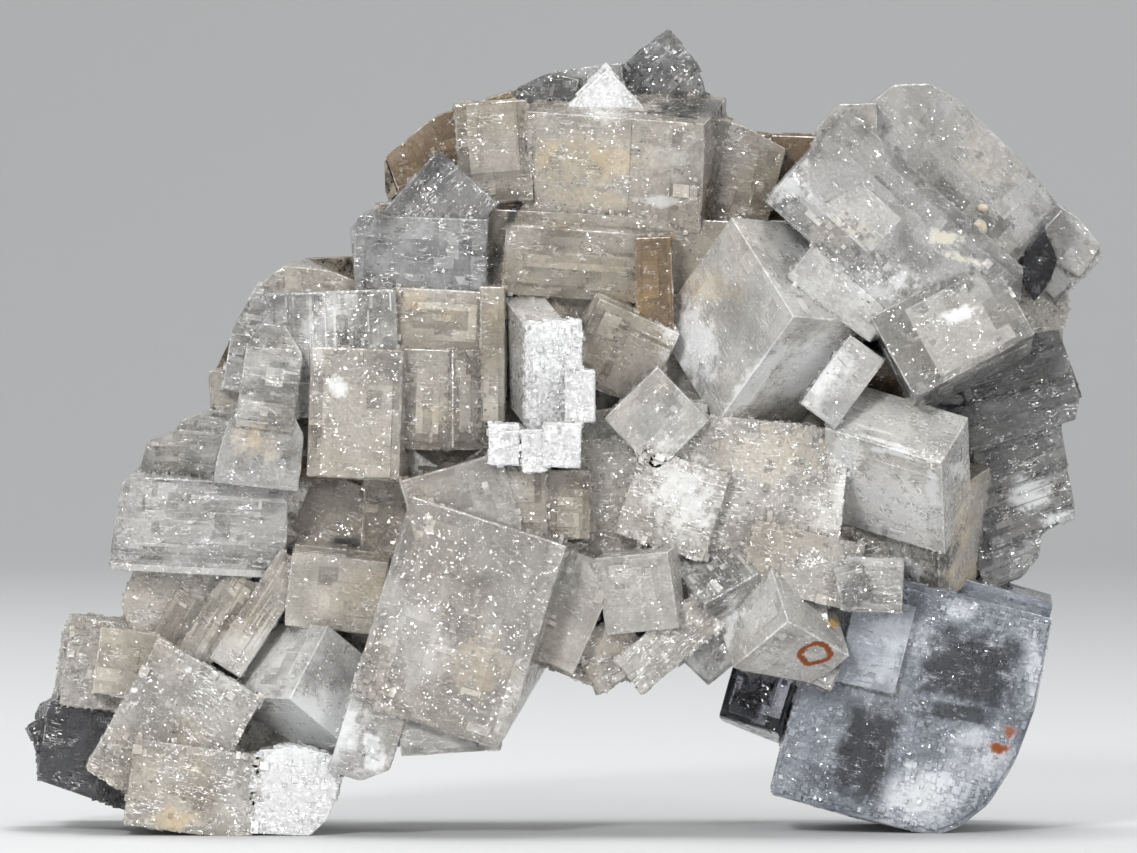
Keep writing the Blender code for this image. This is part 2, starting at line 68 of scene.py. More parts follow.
import json
import logging
import math
import random
from dataclasses import dataclass, field
from enum import Enum
from functools import lru_cache
from itertools import combinations

import bpy
import numpy as np

Array = np.ndarray
Cuts = tuple[tuple[tuple[float, float], ...], ...]

STEP_MM = 160.0 / 1067.0          # one grid step
MIDDLE_ACROSS = 565.8             # the grid column over the origin
MIDDLE_DEPTH = -65.0              # the depth over the origin
FLOOR_DOWN = 829.0                # the grid row of the floor
FRAME_ACROSS, FRAME_DOWN = 1137.0, 853.0
MM = 0.001

log = logging.getLogger("halite")


def on_grid(across: float, down: float, depth: float) -> Array:
    """A grid place in millimetres: right, away and up from the origin."""
    return np.array([across - MIDDLE_ACROSS, depth - MIDDLE_DEPTH, FLOOR_DOWN - down]) * STEP_MM


class Habit(Enum):
    """How a crystal's faces grew or broke."""

    SMOOTH = "smooth"
    STEPPED = "stepped"
    CLEAVED = "cleaved"
    ROUGH = "rough"
    PEBBLED = "pebbled"
    FLUTED = "fluted"


class Salt(Enum):
    """The kinds of salt in the cluster."""

    CLOUDY = "cloudy"
    BEIGE = "beige"
    CLEAVED = "cleaved"
    FROSTED = "frosted"
    SMOKY = "smoky"
    # Near-black salt: painted shade where clear salt shows only dark behind it.
    DARK = "dark"
    SPECKLED = "speckled"
    # Darker brown salt, partly painted shade for crystals in recesses and gaps.
    BROWN = "brown"
    # Whiter salt, partly a painted highlight on faces that catch the lamps.
    BRIGHT_AND_PAINTED_HIGHLIGHT = "bright"
    GREY = "grey"
    STREAKED = "streaked"


@dataclass(frozen=True)
class Finish:
    """One kind of salt.

    Attributes:
        milk: colour of the milky body.
        stain: colour of the stained clouds.
        stained: how much of the body is stained, 0 to 1.
        clear: mean share that is see-through, 0 to 1.
        spread: how far the clouds move that share either way.
        smoke: absorption colour inside the clear salt, or its tint where nothing is absorbed.
        smoke_per_m: absorption density, or 0 for none.
        roughness: of the faces.
        specks: how many dark specks, 0 to 1.
        sparkle: how strongly fine facets glitter, and how many painted glints and white wisps there are, 0 to
            1.
        habit: how its faces grew.
    """

    milk: tuple[float, float, float]
    stain: tuple[float, float, float]
    stained: float
    clear: float
    spread: float
    smoke: tuple[float, float, float]
    smoke_per_m: float
    roughness: float
    specks: float
    sparkle: float
    habit: Habit


CLEAR_SALT = (1.0, 1.0, 1.0)
FINISHES: dict[Salt, Finish] = {
    Salt.CLOUDY: Finish((0.55, 0.545, 0.53), (0.48, 0.42, 0.33), 0.50, 0.62, 0.26, CLEAR_SALT, 0.0,
                        0.06, 0.10, 0.20, Habit.SMOOTH),
    Salt.BEIGE: Finish((0.50, 0.47, 0.415), (0.41, 0.34, 0.24), 0.80, 0.58, 0.24, CLEAR_SALT, 0.0,
                       0.08, 0.50, 0.30, Habit.STEPPED),
    Salt.CLEAVED: Finish((0.55, 0.545, 0.53), (0.46, 0.40, 0.31), 0.40, 0.60, 0.28, CLEAR_SALT, 0.0,
                         0.06, 0.20, 0.50, Habit.CLEAVED),
    Salt.FROSTED: Finish((0.57, 0.55, 0.51), (0.46, 0.39, 0.29), 0.70, 0.45, 0.26, CLEAR_SALT, 0.0,
                         0.09, 0.20, 0.9, Habit.ROUGH),
    Salt.SMOKY: Finish((0.33, 0.355, 0.40), (0.24, 0.24, 0.24), 0.10, 0.50, 0.28, (0.24, 0.37, 0.56), 130.0,
                       0.06, 0.10, 0.10, Habit.SMOOTH),
    # Near-black salt: painted shade where clear salt shows only dark behind it.
    Salt.DARK: Finish((0.035, 0.035, 0.04), (0.03, 0.03, 0.03), 0.30, 0.75, 0.20, (0.14, 0.16, 0.18), 220.0,
                      0.07, 0.10, 0.08, Habit.SMOOTH),
    Salt.SPECKLED: Finish((0.60, 0.58, 0.54), (0.48, 0.41, 0.32), 0.60, 0.52, 0.25, CLEAR_SALT, 0.0,
                          0.07, 0.75, 0.15, Habit.SMOOTH),
    # Darker brown salt, partly painted shade for crystals in recesses and gaps.
    Salt.BROWN: Finish((0.25, 0.18, 0.11), (0.13, 0.08, 0.038), 0.75, 0.36, 0.22, CLEAR_SALT, 0.0,
                       0.18, 0.60, 0.15, Habit.STEPPED),
    # Whiter salt, partly a painted highlight on faces that catch the lamps.
    Salt.BRIGHT_AND_PAINTED_HIGHLIGHT: Finish((0.76, 0.76, 0.76), (0.64, 0.63, 0.61), 0.20, 0.25, 0.20, CLEAR_SALT, 0.0,
                        0.12, 0.05, 1.0, Habit.PEBBLED),
    Salt.GREY: Finish((0.065, 0.065, 0.07), (0.03, 0.03, 0.03), 0.80, 0.40, 0.25, CLEAR_SALT, 0.0,
                      0.24, 0.60, 0.35, Habit.ROUGH),
    Salt.STREAKED: Finish((0.27, 0.268, 0.265), (0.25, 0.22, 0.18), 0.35, 0.60, 0.30, (0.72, 0.73, 0.75), 0.0,
                          0.07, 0.25, 0.6, Habit.CLEAVED),
}


@dataclass(frozen=True)
class Crystal:
    """A block of salt.

    Attributes:
        name: what it is called.
        corner: one corner, in millimetres.
        spans: its three edges from that corner, as rows, in millimetres.
        cuts: chains of points in the front elevation, in grid steps, whose lines trim it; what
            lies to the left of a line, seen along it, is gone.
        salt: the kind of salt it is made of.
        habit: how its faces grew, or None for the salt's own.
        veiled: added to the clear share of its salt, and so below 0 for a cloudier crystal.
    """

    name: str
    corner: Array
    spans: Array
    cuts: Cuts
    salt: Salt
    habit: Habit | None = None
    veiled: float = 0.0

    @property
    def axes(self) -> Array:
        """The edges' directions, as rows."""
        return self.spans / np.linalg.norm(self.spans, axis=1, keepdims=True)

    @property
    def lengths(self) -> Array:
        """The edges' lengths."""
        return np.linalg.norm(self.spans, axis=1)


def facing(name: str, centre: tuple[float, float], depth: float, size: tuple[float, float, float],
           roll: float, salt: Salt, yaw: float = 0.0, pitch: float = 0.0, cuts: Cuts = (),
           habit: Habit | None = None, veiled: float = 0.0) -> Crystal:
    """A block whose front face looks forward.

    Its axes are the columns of turn(roll) @ swing(yaw) @ lean(pitch).

    Args:
        name: what it is called.
        centre: the middle of its front face, in grid steps.
        depth: the depth of that face.
        size: width, height and thickness in grid steps.
        roll: degrees its right side rises in the elevation.
        salt: the kind of salt.
        yaw: degrees its right side swings away.
        pitch: degrees its top leans away.
        cuts: lines that trim it.
        habit: how its faces grew.
        veiled: change to its clear share.

    Returns:
        The crystal.
    """
    r, s, p = (math.radians(angle) for angle in (roll, yaw, pitch))
    turn = np.array([[math.cos(r), 0, -math.sin(r)], [0, 1, 0], [math.sin(r), 0, math.cos(r)]])
    swing = np.array([[math.cos(s), -math.sin(s), 0], [math.sin(s), math.cos(s), 0], [0, 0, 1]])
    lean = np.array([[1, 0, 0], [0, math.cos(p), math.sin(p)], [0, -math.sin(p), math.cos(p)]])
    right, away, up = (turn @ swing @ lean).T
    width, height, thickness = (side * STEP_MM for side in size)
    corner = on_grid(centre[0], centre[1], depth) - right * width / 2 - up * height / 2
    return Crystal(name, corner, np.array([right * width, up * height, away * thickness]), cuts, salt,
                   habit, veiled)


def cornered(name: str, corner: tuple[float, float], depth: float, edges: tuple, salt: Salt,
             cuts: Cuts = (), habit: Habit | None = None, veiled: float = 0.0) -> Crystal:
    """A block seen on its nearest corner.

    Perpendicular edges a, b, c whose elevations have dot products ab, ac, bc recede by a
    depth whose square is -ab * ac / bc for a, and likewise for b and c.

    Args:
        name: what it is called.
        corner: the near corner in the elevation, in grid steps.
        depth: its depth.
        edges: where its three edges run in the elevation.
        salt: the kind of salt.
        cuts: lines that trim it.
        habit: how its faces grew.
        veiled: change to its clear share.

    Returns:
        The crystal.
    """
    flat = np.array(edges, float)
    dots = flat @ flat.T
    ab, ac, bc = dots[0, 1], dots[0, 2], dots[1, 2]
    depths = np.sqrt([-ab * ac / bc, -ab * bc / ac, -ac * bc / ab])
    spans = np.column_stack([flat[:, 0], depths, -flat[:, 1]]) * STEP_MM
    return Crystal(name, on_grid(*corner, depth), spans, cuts, salt, habit, veiled)


@lru_cache(maxsize=None)
def triples_of(count: int) -> Array:
    """Every choice of three out of count planes, as rows of indices."""
    return np.array(list(combinations(range(count), 3)))


def solid_of(normals: Array, offsets: Array) -> tuple[Array, dict[int, Array], Array]:
    """The solid of all points p with n . p <= d for every plane (n, d).

    A corner is a point where three planes meet and no plane leaves it outside; a facet is
    the ring of corners on one plane, in order of their angle about the ring's middle.

    Args:
        normals: outward unit normals, one a row.
        offsets: the planes' distances d.

    Returns:
        Corners, facets as rings of corner indices by plane, and which corner touches which plane.
    """
    triples = triples_of(len(normals))
    frames = normals[triples]
    steep = np.abs(np.linalg.det(frames)) > 1e-4
    meets = np.linalg.solve(frames[steep], offsets[triples[steep]][..., None])[..., 0]
    meets = meets[(meets @ normals.T <= offsets + 1e-5).all(axis=1)]
    corners = np.unique(np.round(meets, 4), axis=0)
    touching = np.abs(corners @ normals.T - offsets) < 4e-4
    facets = {}
    for number, normal in enumerate(normals):
        ring = np.flatnonzero(touching[:, number])
        if len(ring) < 3:
            continue
        spokes = corners[ring] - corners[ring].mean(axis=0)
        across = spokes[0] / np.linalg.norm(spokes[0])
        along = np.cross(normal, across)
        facets[number] = ring[np.argsort(np.arctan2(spokes @ along, spokes @ across))]
    return corners, facets, touching


def crystal_planes(crystal: Crystal) -> tuple[Array, Array]:
    """The planes of a crystal: its six faces, the floor, then its cuts.

    A cut's outward normal is its line's direction turned a quarter left in the elevation.

    Args:
        crystal: the crystal.

    Returns:
        Outward normals and offsets.
    """
    normals = [*crystal.axes, *-crystal.axes, np.array([0.0, 0.0, -1.0])]
    offsets = [*(crystal.axes @ crystal.corner + crystal.lengths), *-(crystal.axes @ crystal.corner), 0.0]
    for start, end in (pair for chain in crystal.cuts for pair in zip(chain, chain[1:])):
        first, last = on_grid(*start, 0.0), on_grid(*end, 0.0)
        along = (last - first) / np.linalg.norm(last - first)
        outward = np.array([-along[2], 0.0, along[0]])
        normals.append(outward)
        offsets.append(outward @ first)
    return np.array(normals), np.array(offsets)


def bevel_planes(normals: Array, offsets: Array, width: float) -> tuple[Array, Array]:
    """The planes with one more across every edge, so that the edge becomes a narrow bevel.

    Each new normal is the mean direction of the two faces, and its plane lies 0.7 of the
    bevel's width inside the edge.

    Args:
        normals: outward normals.
        offsets: the planes' distances.
        width: the bevel's width.

    Returns:
        Normals and offsets with the bevels added.
    """
    corners, _, touching = solid_of(normals, offsets)
    shared = touching.T.astype(int) @ touching.astype(int)
    one, other = np.nonzero(np.triu(shared >= 2, k=1))
    middle = normals[one] + normals[other]
    middle /= np.linalg.norm(middle, axis=1, keepdims=True)
    on_edge = np.array([corners[np.argmax(touching[:, i] & touching[:, j])] for i, j in zip(one, other)])
    inside = np.einsum("ij,ij->i", middle, on_edge) - 0.7 * width
    return np.vstack([normals, middle]), np.concatenate([offsets, inside])


BLOCK_RINGS = np.array([[0, 2, 6, 4], [1, 5, 7, 3], [0, 1, 3, 2], [4, 6, 7, 5], [0, 4, 5, 1], [2, 3, 7, 6]])
BLOCK_BITS = np.array([[i, j, k] for i in (0, 1) for j in (0, 1) for k in (0, 1)], float)
BLOCK_RIMS = np.array([0.0, 0.0, 1.0, 1.0, 1.0, 1.0])       # the sides of a plate are its rim


@dataclass
class Blocks:
    """Many small blocks at once, in millimetres.

    Attributes:
        corners: one corner of each, as rows.
        spans: the three edges of each, (count, 3, 3).
        tones: how light each is, about 1.
    """

    corners: Array
    spans: Array
    tones: Array

    def points(self) -> Array:
        """All corners, eight to a block: corner + i a + j b + k c."""
        return self.corners[:, None, :] + np.einsum("vi,nij->nvj", BLOCK_BITS, self.spans)

    def rings(self) -> Array:
        """All faces, six to a block, turned over where the edges are left-handed."""
        rings = np.tile(BLOCK_RINGS, (len(self.corners), 1, 1))
        flipped = np.linalg.det(self.spans) < 0
        rings[flipped] = rings[flipped][:, :, ::-1]
        return rings + 8 * np.arange(len(self.corners))[:, None, None]

    def only(self, wanted: Array) -> "Blocks":
        """The wanted blocks alone."""
        return Blocks(self.corners[wanted], self.spans[wanted], self.tones[wanted])


class Shell:
    """Closed solids gathered into one mesh, with where each lies in its crystal's lattice."""

    def __init__(self, name: str) -> None:
        """An empty shell.

        Args:
            name: the finished object's name.
        """
        self.name = name
        self.points: list[Array] = []
        self.lattice: list[Array] = []
        self.nature: list[Array] = []
        self.loops: list[Array] = []
        self.sizes: list[Array] = []
        self.rims: list[Array] = []
        self.count = 0

    def add(self, points: Array, rings: list[Array] | Array, lattice: Array, nature: Array,
            rims: Array) -> None:
        """Add closed solids.

        Args:
            points: their corners in millimetres.
            rings: their faces as rings of indices into points.
            lattice: each corner's place in the crystal's own axes, in millimetres.
            nature: each corner's tone, clear share and stain, then 1.
            rims: 1 for each face that is a rim or a bevel, else 0.
        """
        self.rims.append(rims)
        self.points.append(points)
        self.lattice.append(lattice)
        self.nature.append(nature)
        self.loops.append(np.concatenate([np.ravel(ring) for ring in rings]) + self.count)
        self.sizes.append(np.array([len(ring) for ring in rings]))
        self.count += len(points)

    def build(self, material: bpy.types.Material) -> bpy.types.Object:
        """Put everything in one mesh and one object.

        Args:
            material: its finish.

        Returns:
            The object, at the origin.
        """
        points, loops = np.concatenate(self.points) * MM, np.concatenate(self.loops)
        sizes = np.concatenate(self.sizes)
        mesh = bpy.data.meshes.new(self.name)
        mesh.vertices.add(len(points))
        mesh.vertices.foreach_set("co", points.astype(np.float32).ravel())
        mesh.loops.add(len(loops))
        mesh.loops.foreach_set("vertex_index", loops.astype(np.int32))
        mesh.polygons.add(len(sizes))
        mesh.polygons.foreach_set("loop_start", np.concatenate([[0], np.cumsum(sizes)[:-1]]).astype(np.int32))
        mesh.update(calc_edges=True)
        mesh.shade_flat()
        mesh.attributes.new("lattice", "FLOAT_VECTOR", "POINT").data.foreach_set(
            "vector", np.concatenate(self.lattice).astype(np.float32).ravel())
        mesh.attributes.new("nature", "FLOAT_COLOR", "POINT").data.foreach_set(
            "color", np.concatenate(self.nature).astype(np.float32).ravel())
        mesh.attributes.new("rim", "FLOAT", "FACE").data.foreach_set(
            "value", np.concatenate(self.rims).astype(np.float32))
        mesh.materials.append(material)
        item = bpy.data.objects.new(self.name, mesh)
        bpy.context.scene.collection.objects.link(item)
        return item


@dataclass(frozen=True)
class Face:
    """One flat face of a block.

    Attributes:
        origin: one corner.
        along: direction of its first edge.
        across: direction of its second edge.
        out: outward normal.
        sides: lengths of the two edges.
    """

    origin: Array
    along: Array
    across: Array
    out: Array
    sides: Array

    def raised(self, low: Array, high: Array, sink: Array, rise: Array, tones: Array) -> Blocks:
        """Blocks standing on the face.

        Each runs from low to high along the face and from sink below it to rise above it.

        Args:
            low: near corners along and across, (count, 2).
            high: far corners.
            sink: depths below the face.
            rise: heights above it.
            tones: tones.

        Returns:
            The blocks.
        """
        frame = np.array([self.along, self.across])
        corners = self.origin + low @ frame - sink[:, None] * self.out
        reach = high - low
        spans = np.stack([reach[:, :1] * self.along, reach[:, 1:] * self.across,
                          (sink + rise)[:, None] * self.out], axis=1)
        return Blocks(corners, spans, tones)


def faces_of(crystal: Crystal) -> list[Face]:
    """The six faces of a crystal's block."""
    found = []
    for index, side in ((index, side) for index in range(3) for side in (0, 1)):
        first, second = (index + 1) % 3, (index + 2) % 3
        out = crystal.axes[index] * (1 if side else -1)
        found.append(Face(crystal.corner + crystal.spans[index] * side, crystal.axes[first],
                          crystal.axes[second], out, crystal.lengths[[first, second]]))
    return found


def turned_about(axes: Array, angles: Array) -> Array:
    """Turn matrices from Rodrigues' formula: I + sin t K + (1 - cos t) K K, K the axis's cross matrix.

    Args:
        axes: unit axes, (count, 3).
        angles: angles in radians.

    Returns:
        Matrices, (count, 3, 3).
    """
    cross = np.zeros((len(axes), 3, 3))
    cross[:, 0, 1], cross[:, 0, 2], cross[:, 1, 2] = -axes[:, 2], axes[:, 1], -axes[:, 0]
    cross -= cross.transpose(0, 2, 1)
    sine, cosine = np.sin(angles)[:, None, None], np.cos(angles)[:, None, None]
    return np.eye(3) + sine * cross + (1 - cosine) * cross @ cross


class Growth:
    """The growth steps, cleavage strips and crumbs on a crystal's faces."""

    def __init__(self, crystal: Crystal, habit: Habit, chance: np.random.Generator) -> None:
        """Growth on one crystal.

        Args:
            crystal: the crystal.
            habit: how it grew.
            chance: source of its irregularity.
        """
        self.crystal, self.habit, self.chance = crystal, habit, chance
        self.normals, self.offsets = crystal_planes(crystal)

    def on_face(self, face: Face) -> Blocks:
        """Everything that grows on a face."""
        grow = {Habit.SMOOTH: self.smooth, Habit.STEPPED: self.stepped, Habit.CLEAVED: self.cleaved,
                Habit.ROUGH: self.rough, Habit.PEBBLED: self.pebbled, Habit.FLUTED: self.fluted}[self.habit]
        if self.habit is Habit.ROUGH:
            return self.trimmed(grow(face), 0.35)
        return self.trimmed(self.tilted(grow(face)), -0.05)

    def tilted(self, blocks: Blocks) -> Blocks:
        """The blocks turned by a degree or two about a random axis, and less the longer they are."""
        count = len(blocks.corners)
        axis = self.chance.normal(size=(count, 3))
        axis /= np.linalg.norm(axis, axis=1, keepdims=True)
        longest = np.linalg.norm(blocks.spans, axis=2).max(axis=1)
        angles = self.chance.normal(0.0, 1.0, count) * np.minimum(0.035, 0.06 / longest)
        return Blocks(blocks.corners, blocks.spans @ turned_about(axis, angles), blocks.tones)

    def trimmed(self, blocks: Blocks, margin: float) -> Blocks:
        """The blocks no corner of which lies more than the margin past a cut, or below the floor."""
        allowed = self.offsets[6:] + np.where(np.arange(len(self.offsets) - 6) == 0, 0.0, margin)
        reach = np.einsum("nvj,cj->nvc", blocks.points(), self.normals[6:])
        return blocks.only((reach <= allowed).all(axis=(1, 2)))

    def hillock(self, face: Face, levels: int, rise: tuple[float, float], first: Array) -> Blocks:
        """Terraces stepping up: each is the one below drawn in on some sides and one rise higher.

        Args:
            face: the face.
            levels: how many terraces.
            rise: smallest and largest rise of one, in millimetres.
            first: low and high corners of the lowest terrace, (2, 2).

        Returns:
            The terraces.
        """
        draw = self.chance.uniform(0.02, 0.24, (levels, 2, 2)) * (self.chance.random((levels, 2, 2)) < 0.6)
        draw = np.cumsum(draw, axis=0) * (first[1] - first[0])
        low, high = first[0] + draw[:, 0], first[1] - draw[:, 1]
        heights = np.cumsum(self.chance.uniform(*rise, levels))
        tones = 1.0 + self.chance.normal(0.0, 0.025, levels)
        blocks = face.raised(low, high, np.full(levels, 0.3), heights, tones)
        return blocks.only((high - low > 0.3).all(axis=1))

    def terraces(self, face: Face, hillocks: int, levels: int, rise: tuple[float, float]) -> Blocks:
        """Several hillocks, the first over most of the face and the others on parts of it."""
        inset = np.minimum(0.25, face.sides * 0.1)
        start = [np.array([inset, face.sides - inset])]
        for _ in range(hillocks - 1):
            span = face.sides * self.chance.uniform(0.2, 0.6, 2)
            low = inset + (face.sides - 2 * inset - span) * self.chance.uniform(0, 1, 2)
            start.append(np.array([low, low + span]))
        return joined([self.hillock(face, levels, rise, first) for first in start])

    def smooth(self, face: Face) -> Blocks:
        """A nearly flat face: low hillocks and a few thin plates."""
        return joined([self.terraces(face, 2, 2, (0.02, 0.06)), self.plates(face, 0.10, (0.6, 4.0), 0.05)])

    def stepped(self, face: Face) -> Blocks:
        """Clear growth terraces."""
        return joined([self.terraces(face, 1 + int(face.sides.min() / 6), 4, (0.03, 0.10)),
                       self.plates(face, 0.15, (0.4, 3.0), 0.07)])

    def plates(self, face: Face, per_mm2: float, size: tuple[float, float], rise: float) -> Blocks:
        """Thin plates scattered over the face, each side drawn evenly in the logarithm of its size."""
        count = 3 + int(face.sides.prod() * per_mm2)
        reach = np.exp(self.chance.uniform(*np.log(size), (count, 2)))
        reach = np.minimum(reach, face.sides * 0.6)
        low = 0.1 + (face.sides - 0.2 - reach).clip(0) * self.chance.random((count, 2))
        high = np.minimum(low + reach, face.sides - 0.1)
        return face.raised(low, high, np.full(count, 0.2), self.chance.uniform(0.3 * rise, 1.5 * rise, count),
                           1 + self.chance.normal(0, 0.06, count))

    def cleaved(self, face: Face) -> Blocks:
        """Strips that run the length of the face, as cleavage leaves them."""
        count = max(8, int(face.sides[1] * 5))
        middle = self.chance.uniform(0, face.sides[1], count)
        wide = np.minimum(self.chance.lognormal(-1.1, 0.7, count), face.sides[1] * 0.4)
        ends = np.sort(self.chance.uniform(-0.2, 1.2, (count, 2)), axis=1).clip(0.02, 0.98) * face.sides[0]
        low = np.column_stack([ends[:, 0], (middle - wide / 2).clip(0.1)])
        high = np.column_stack([ends[:, 1], (middle + wide / 2).clip(None, face.sides[1] - 0.1)])
        rise = self.chance.uniform(0.02, 0.14, count)
        blocks = face.raised(low, high, np.full(count, 0.3), rise, 1 + self.chance.normal(0, 0.05, count))
        strips = blocks.only((high - low > 0.08).all(axis=1))
        return joined([strips, self.plates(face, 0.10, (0.5, 3.0), 0.08)])

    def fluted(self, face: Face) -> Blocks:
        """Strips as on a cleaved face, that run across it."""
        return self.cleaved(Face(face.origin, face.across, face.along, face.out, face.sides[::-1]))

    def pebbled(self, face: Face) -> Blocks:
        """A face covered in tiny square plates."""
        return self.plates(face, 2.0, (0.25, 1.0), 0.07)

    def rough(self, face: Face) -> Blocks:
        """Crumbs: small blocks half sunk in the face, most of them turned only a little from the crystal."""
        count = int(face.sides.prod() * 1.7)
        size = self.chance.lognormal(-0.8, 0.5, (count, 1)).clip(0.18, 1.3)
        sides = size * self.chance.uniform(0.6, 1.5, (count, 3))
        wild = self.chance.random(count) < 0.15
        angles = self.chance.normal(0.0, 1.0, count) * np.where(wild, 0.4, 0.07)
        axis = self.chance.normal(size=(count, 3))
        axis /= np.linalg.norm(axis, axis=1, keepdims=True)
        frame = np.array([face.along, face.across, face.out])
        spans = sides[..., None] * (frame @ turned_about(axis, angles))
        place = self.chance.random((count, 2)) * face.sides
        sunk = size * self.chance.uniform(0.40, 0.75, (count, 1))
        middle = face.origin + place @ frame[:2] - face.out * sunk
        return Blocks(middle - spans.sum(axis=1) / 2, spans, 1 + self.chance.normal(0, 0.10, count))


class Neighbours:
    """All the cluster's crystals, for finding the seams where they meet and what they bury."""

    def __init__(self, crystals: tuple[Crystal, ...]) -> None:
        """Keep each crystal's planes and its box."""
        self.names = [crystal.name for crystal in crystals]
        self.planes = [crystal_planes(crystal) for crystal in crystals]
        corners = [crystal.corner + BLOCK_BITS @ crystal.spans for crystal in crystals]
        self.low = np.array([corner.min(axis=0) for corner in corners]) - 1.0
        self.high = np.array([corner.max(axis=0) for corner in corners]) + 1.0

    def distances(self, points: Array, own: str) -> tuple[Array, Array]:
        """How far points lie from the other crystals' surfaces.

        A point's distance from a crystal is the largest n . p - d over its planes, below 0
        inside it.

        Args:
            points: points on one crystal, in millimetres.
            own: that crystal's name.

        Returns:
            The smallest distance either way, and the lowest distance.
        """
        near, lowest = np.full(len(points), np.inf), np.full(len(points), np.inf)
        low, high = points.min(axis=0), points.max(axis=0)
        for name, (normals, offsets), least, most in zip(self.names, self.planes, self.low, self.high):
            if name == own or (least > high).any() or (most < low).any():
                continue
            distance = (points @ normals.T - offsets).max(axis=1)
            lowest = np.minimum(lowest, distance)
            near = np.minimum(near, np.abs(distance))
        return near, lowest

    def on_seam(self, points: Array, own: str) -> Array:
        """Which points lie where another crystal's surface passes, and inside none."""
        near, lowest = self.distances(points, own)
        return (lowest > -0.35) & (near < 0.45)

    def showing(self, blocks: Blocks, own: str) -> Blocks:
        """The blocks that aren't buried: at least one corner lies less than 0.1 mm inside the others."""
        if not len(blocks.corners):
            return blocks
        _, lowest = self.distances(blocks.points().reshape(-1, 3), own)
        return blocks.only((lowest > -0.1).reshape(-1, 8).any(axis=1))


@dataclass(frozen=True)
class Druse:
    """Small cubes grown along the seams between crystals.

    Attributes:
        neighbours: all the crystals.
        per_mm2: how many places are tried on each square millimetre.
        middle: the commonest size, in millimetres.
        largest: the largest size.
    """

    neighbours: Neighbours
    per_mm2: float = 2.8
    middle: float = 0.33
    largest: float = 1.0

    def on_face(self, crystal: Crystal, face: Face, chance: np.random.Generator) -> Blocks:
        """Cubes on the seam points of a face, turned a little from the crystal's own axes."""
        count = int(face.sides.prod() * self.per_mm2) + 4
        points = face.origin + (chance.random((count, 2)) * face.sides) @ np.array([face.along, face.across])
        points = points[self.neighbours.on_seam(points, crystal.name)]
        count = len(points)
        size = chance.lognormal(math.log(self.middle), 0.45, (count, 1)).clip(0.16, self.largest)
        sides = size * chance.uniform(0.6, 1.4, (count, 3))
        axis = chance.normal(size=(count, 3))
        axis /= np.linalg.norm(axis, axis=1, keepdims=True)
        turns = turned_about(axis, chance.normal(0.0, 0.10, count))
        spans = sides[..., None] * (np.array([face.along, face.across, face.out]) @ turns)
        lift = size * chance.uniform(-0.35, 0.05, (count, 1))
        corners = points + face.out * lift - spans.sum(axis=1) / 2
        return Blocks(corners, spans, 1 + chance.normal(0.03, 0.08, count))


def joined(groups: list[Blocks]) -> Blocks:
    """Several groups of blocks as one."""
    return Blocks(np.concatenate([group.corners for group in groups]),
                  np.concatenate([group.spans for group in groups]),
                  np.concatenate([group.tones for group in groups]))


@dataclass
class Outcrop:
    """A group of crystals in one part of the cluster.

    Attributes:
        name: what it is called.
        crystals: its crystals.
        looks: +1 where its growth is on the back, -1 where it is on the front.
        bevel: width of the crystals' bevelled edges, in millimetres.
    """

    name: str
    crystals: tuple[Crystal, ...]
    looks: int = -1
    bevel: float = 0.16
    druses: tuple[Druse, ...] = ()
    pieces: list[bpy.types.Object] = field(default_factory=list)

    def build(self, salts: dict[tuple[str, Salt], bpy.types.Material],
              druses: tuple[Druse, ...]) -> list[bpy.types.Object]:
        """One piece for each kind of salt in the group.

        Args:
            salts: the material of each kind of salt, by group name and kind.
            druses: what grows on the seams.

        Returns:
            The pieces.
        """
        self.druses = druses
        shells: dict[Salt, Shell] = {}
        for crystal in self.crystals:
            shell = shells.setdefault(crystal.salt, Shell(f"{self.name}_{crystal.salt.value}"))
            self.grow(crystal, shell)
        self.pieces = [shell.build(salts[self.name, salt]) for salt, shell in shells.items()]
        return self.pieces

    def grow(self, crystal: Crystal, shell: Shell) -> None:
        """Add one crystal and what grows on it to a shell."""
        seed = sum(ord(letter) * (place + 3) for place, letter in enumerate(crystal.name))
        chance = np.random.default_rng(seed)
        origin = chance.uniform(0, 90, 3)
        nature = np.array([1 + chance.normal(0, 0.04), 0.5 + crystal.veiled + chance.normal(0, 0.05),
                           chance.uniform(0.3, 1.0), 1.0])
        width = min(self.bevel, crystal.lengths.min() * 0.06)
        planes = crystal_planes(crystal)
        corners, facets, _ = solid_of(*bevel_planes(*planes, width))
        rims = (np.array(list(facets)) >= len(planes[0])).astype(float)
        self.put(shell, crystal, corners, list(facets.values()), origin,
                 np.tile(nature, (len(corners), 1)), rims)
        growth = Growth(crystal, crystal.habit or FINISHES[crystal.salt].habit, chance)
        for face in faces_of(crystal):
            if face.out[1] * self.looks < -0.3:
                continue
            blocks = joined([growth.on_face(face), *(growth.trimmed(druse.on_face(crystal, face, chance), 0.2)
                                                     for druse in self.druses)])
            blocks = self.druses[0].neighbours.showing(blocks, crystal.name)
            if not len(blocks.corners):
                continue
            natures = np.tile(nature, (len(blocks.corners), 1))
            natures[:, 0] *= blocks.tones
            natures[:, 1] += chance.normal(0.0, 0.35, len(natures))
            rim = 0.3 if growth.habit is Habit.ROUGH else 1.0
            self.put(shell, crystal, blocks.points().reshape(-1, 3), blocks.rings().reshape(-1, 4), origin,
                     np.repeat(natures, 8, axis=0), np.tile(rim * BLOCK_RIMS, len(natures)))

    def put(self, shell: Shell, crystal: Crystal, points: Array, rings: list[Array] | Array,
            origin: Array, natures: Array, rims: Array) -> None:
        """Add points to the shell with their lattice places: the distance from the corner along each axis."""
        shell.add(points, rings, (points - crystal.corner) @ crystal.axes.T + origin, natures, rims)


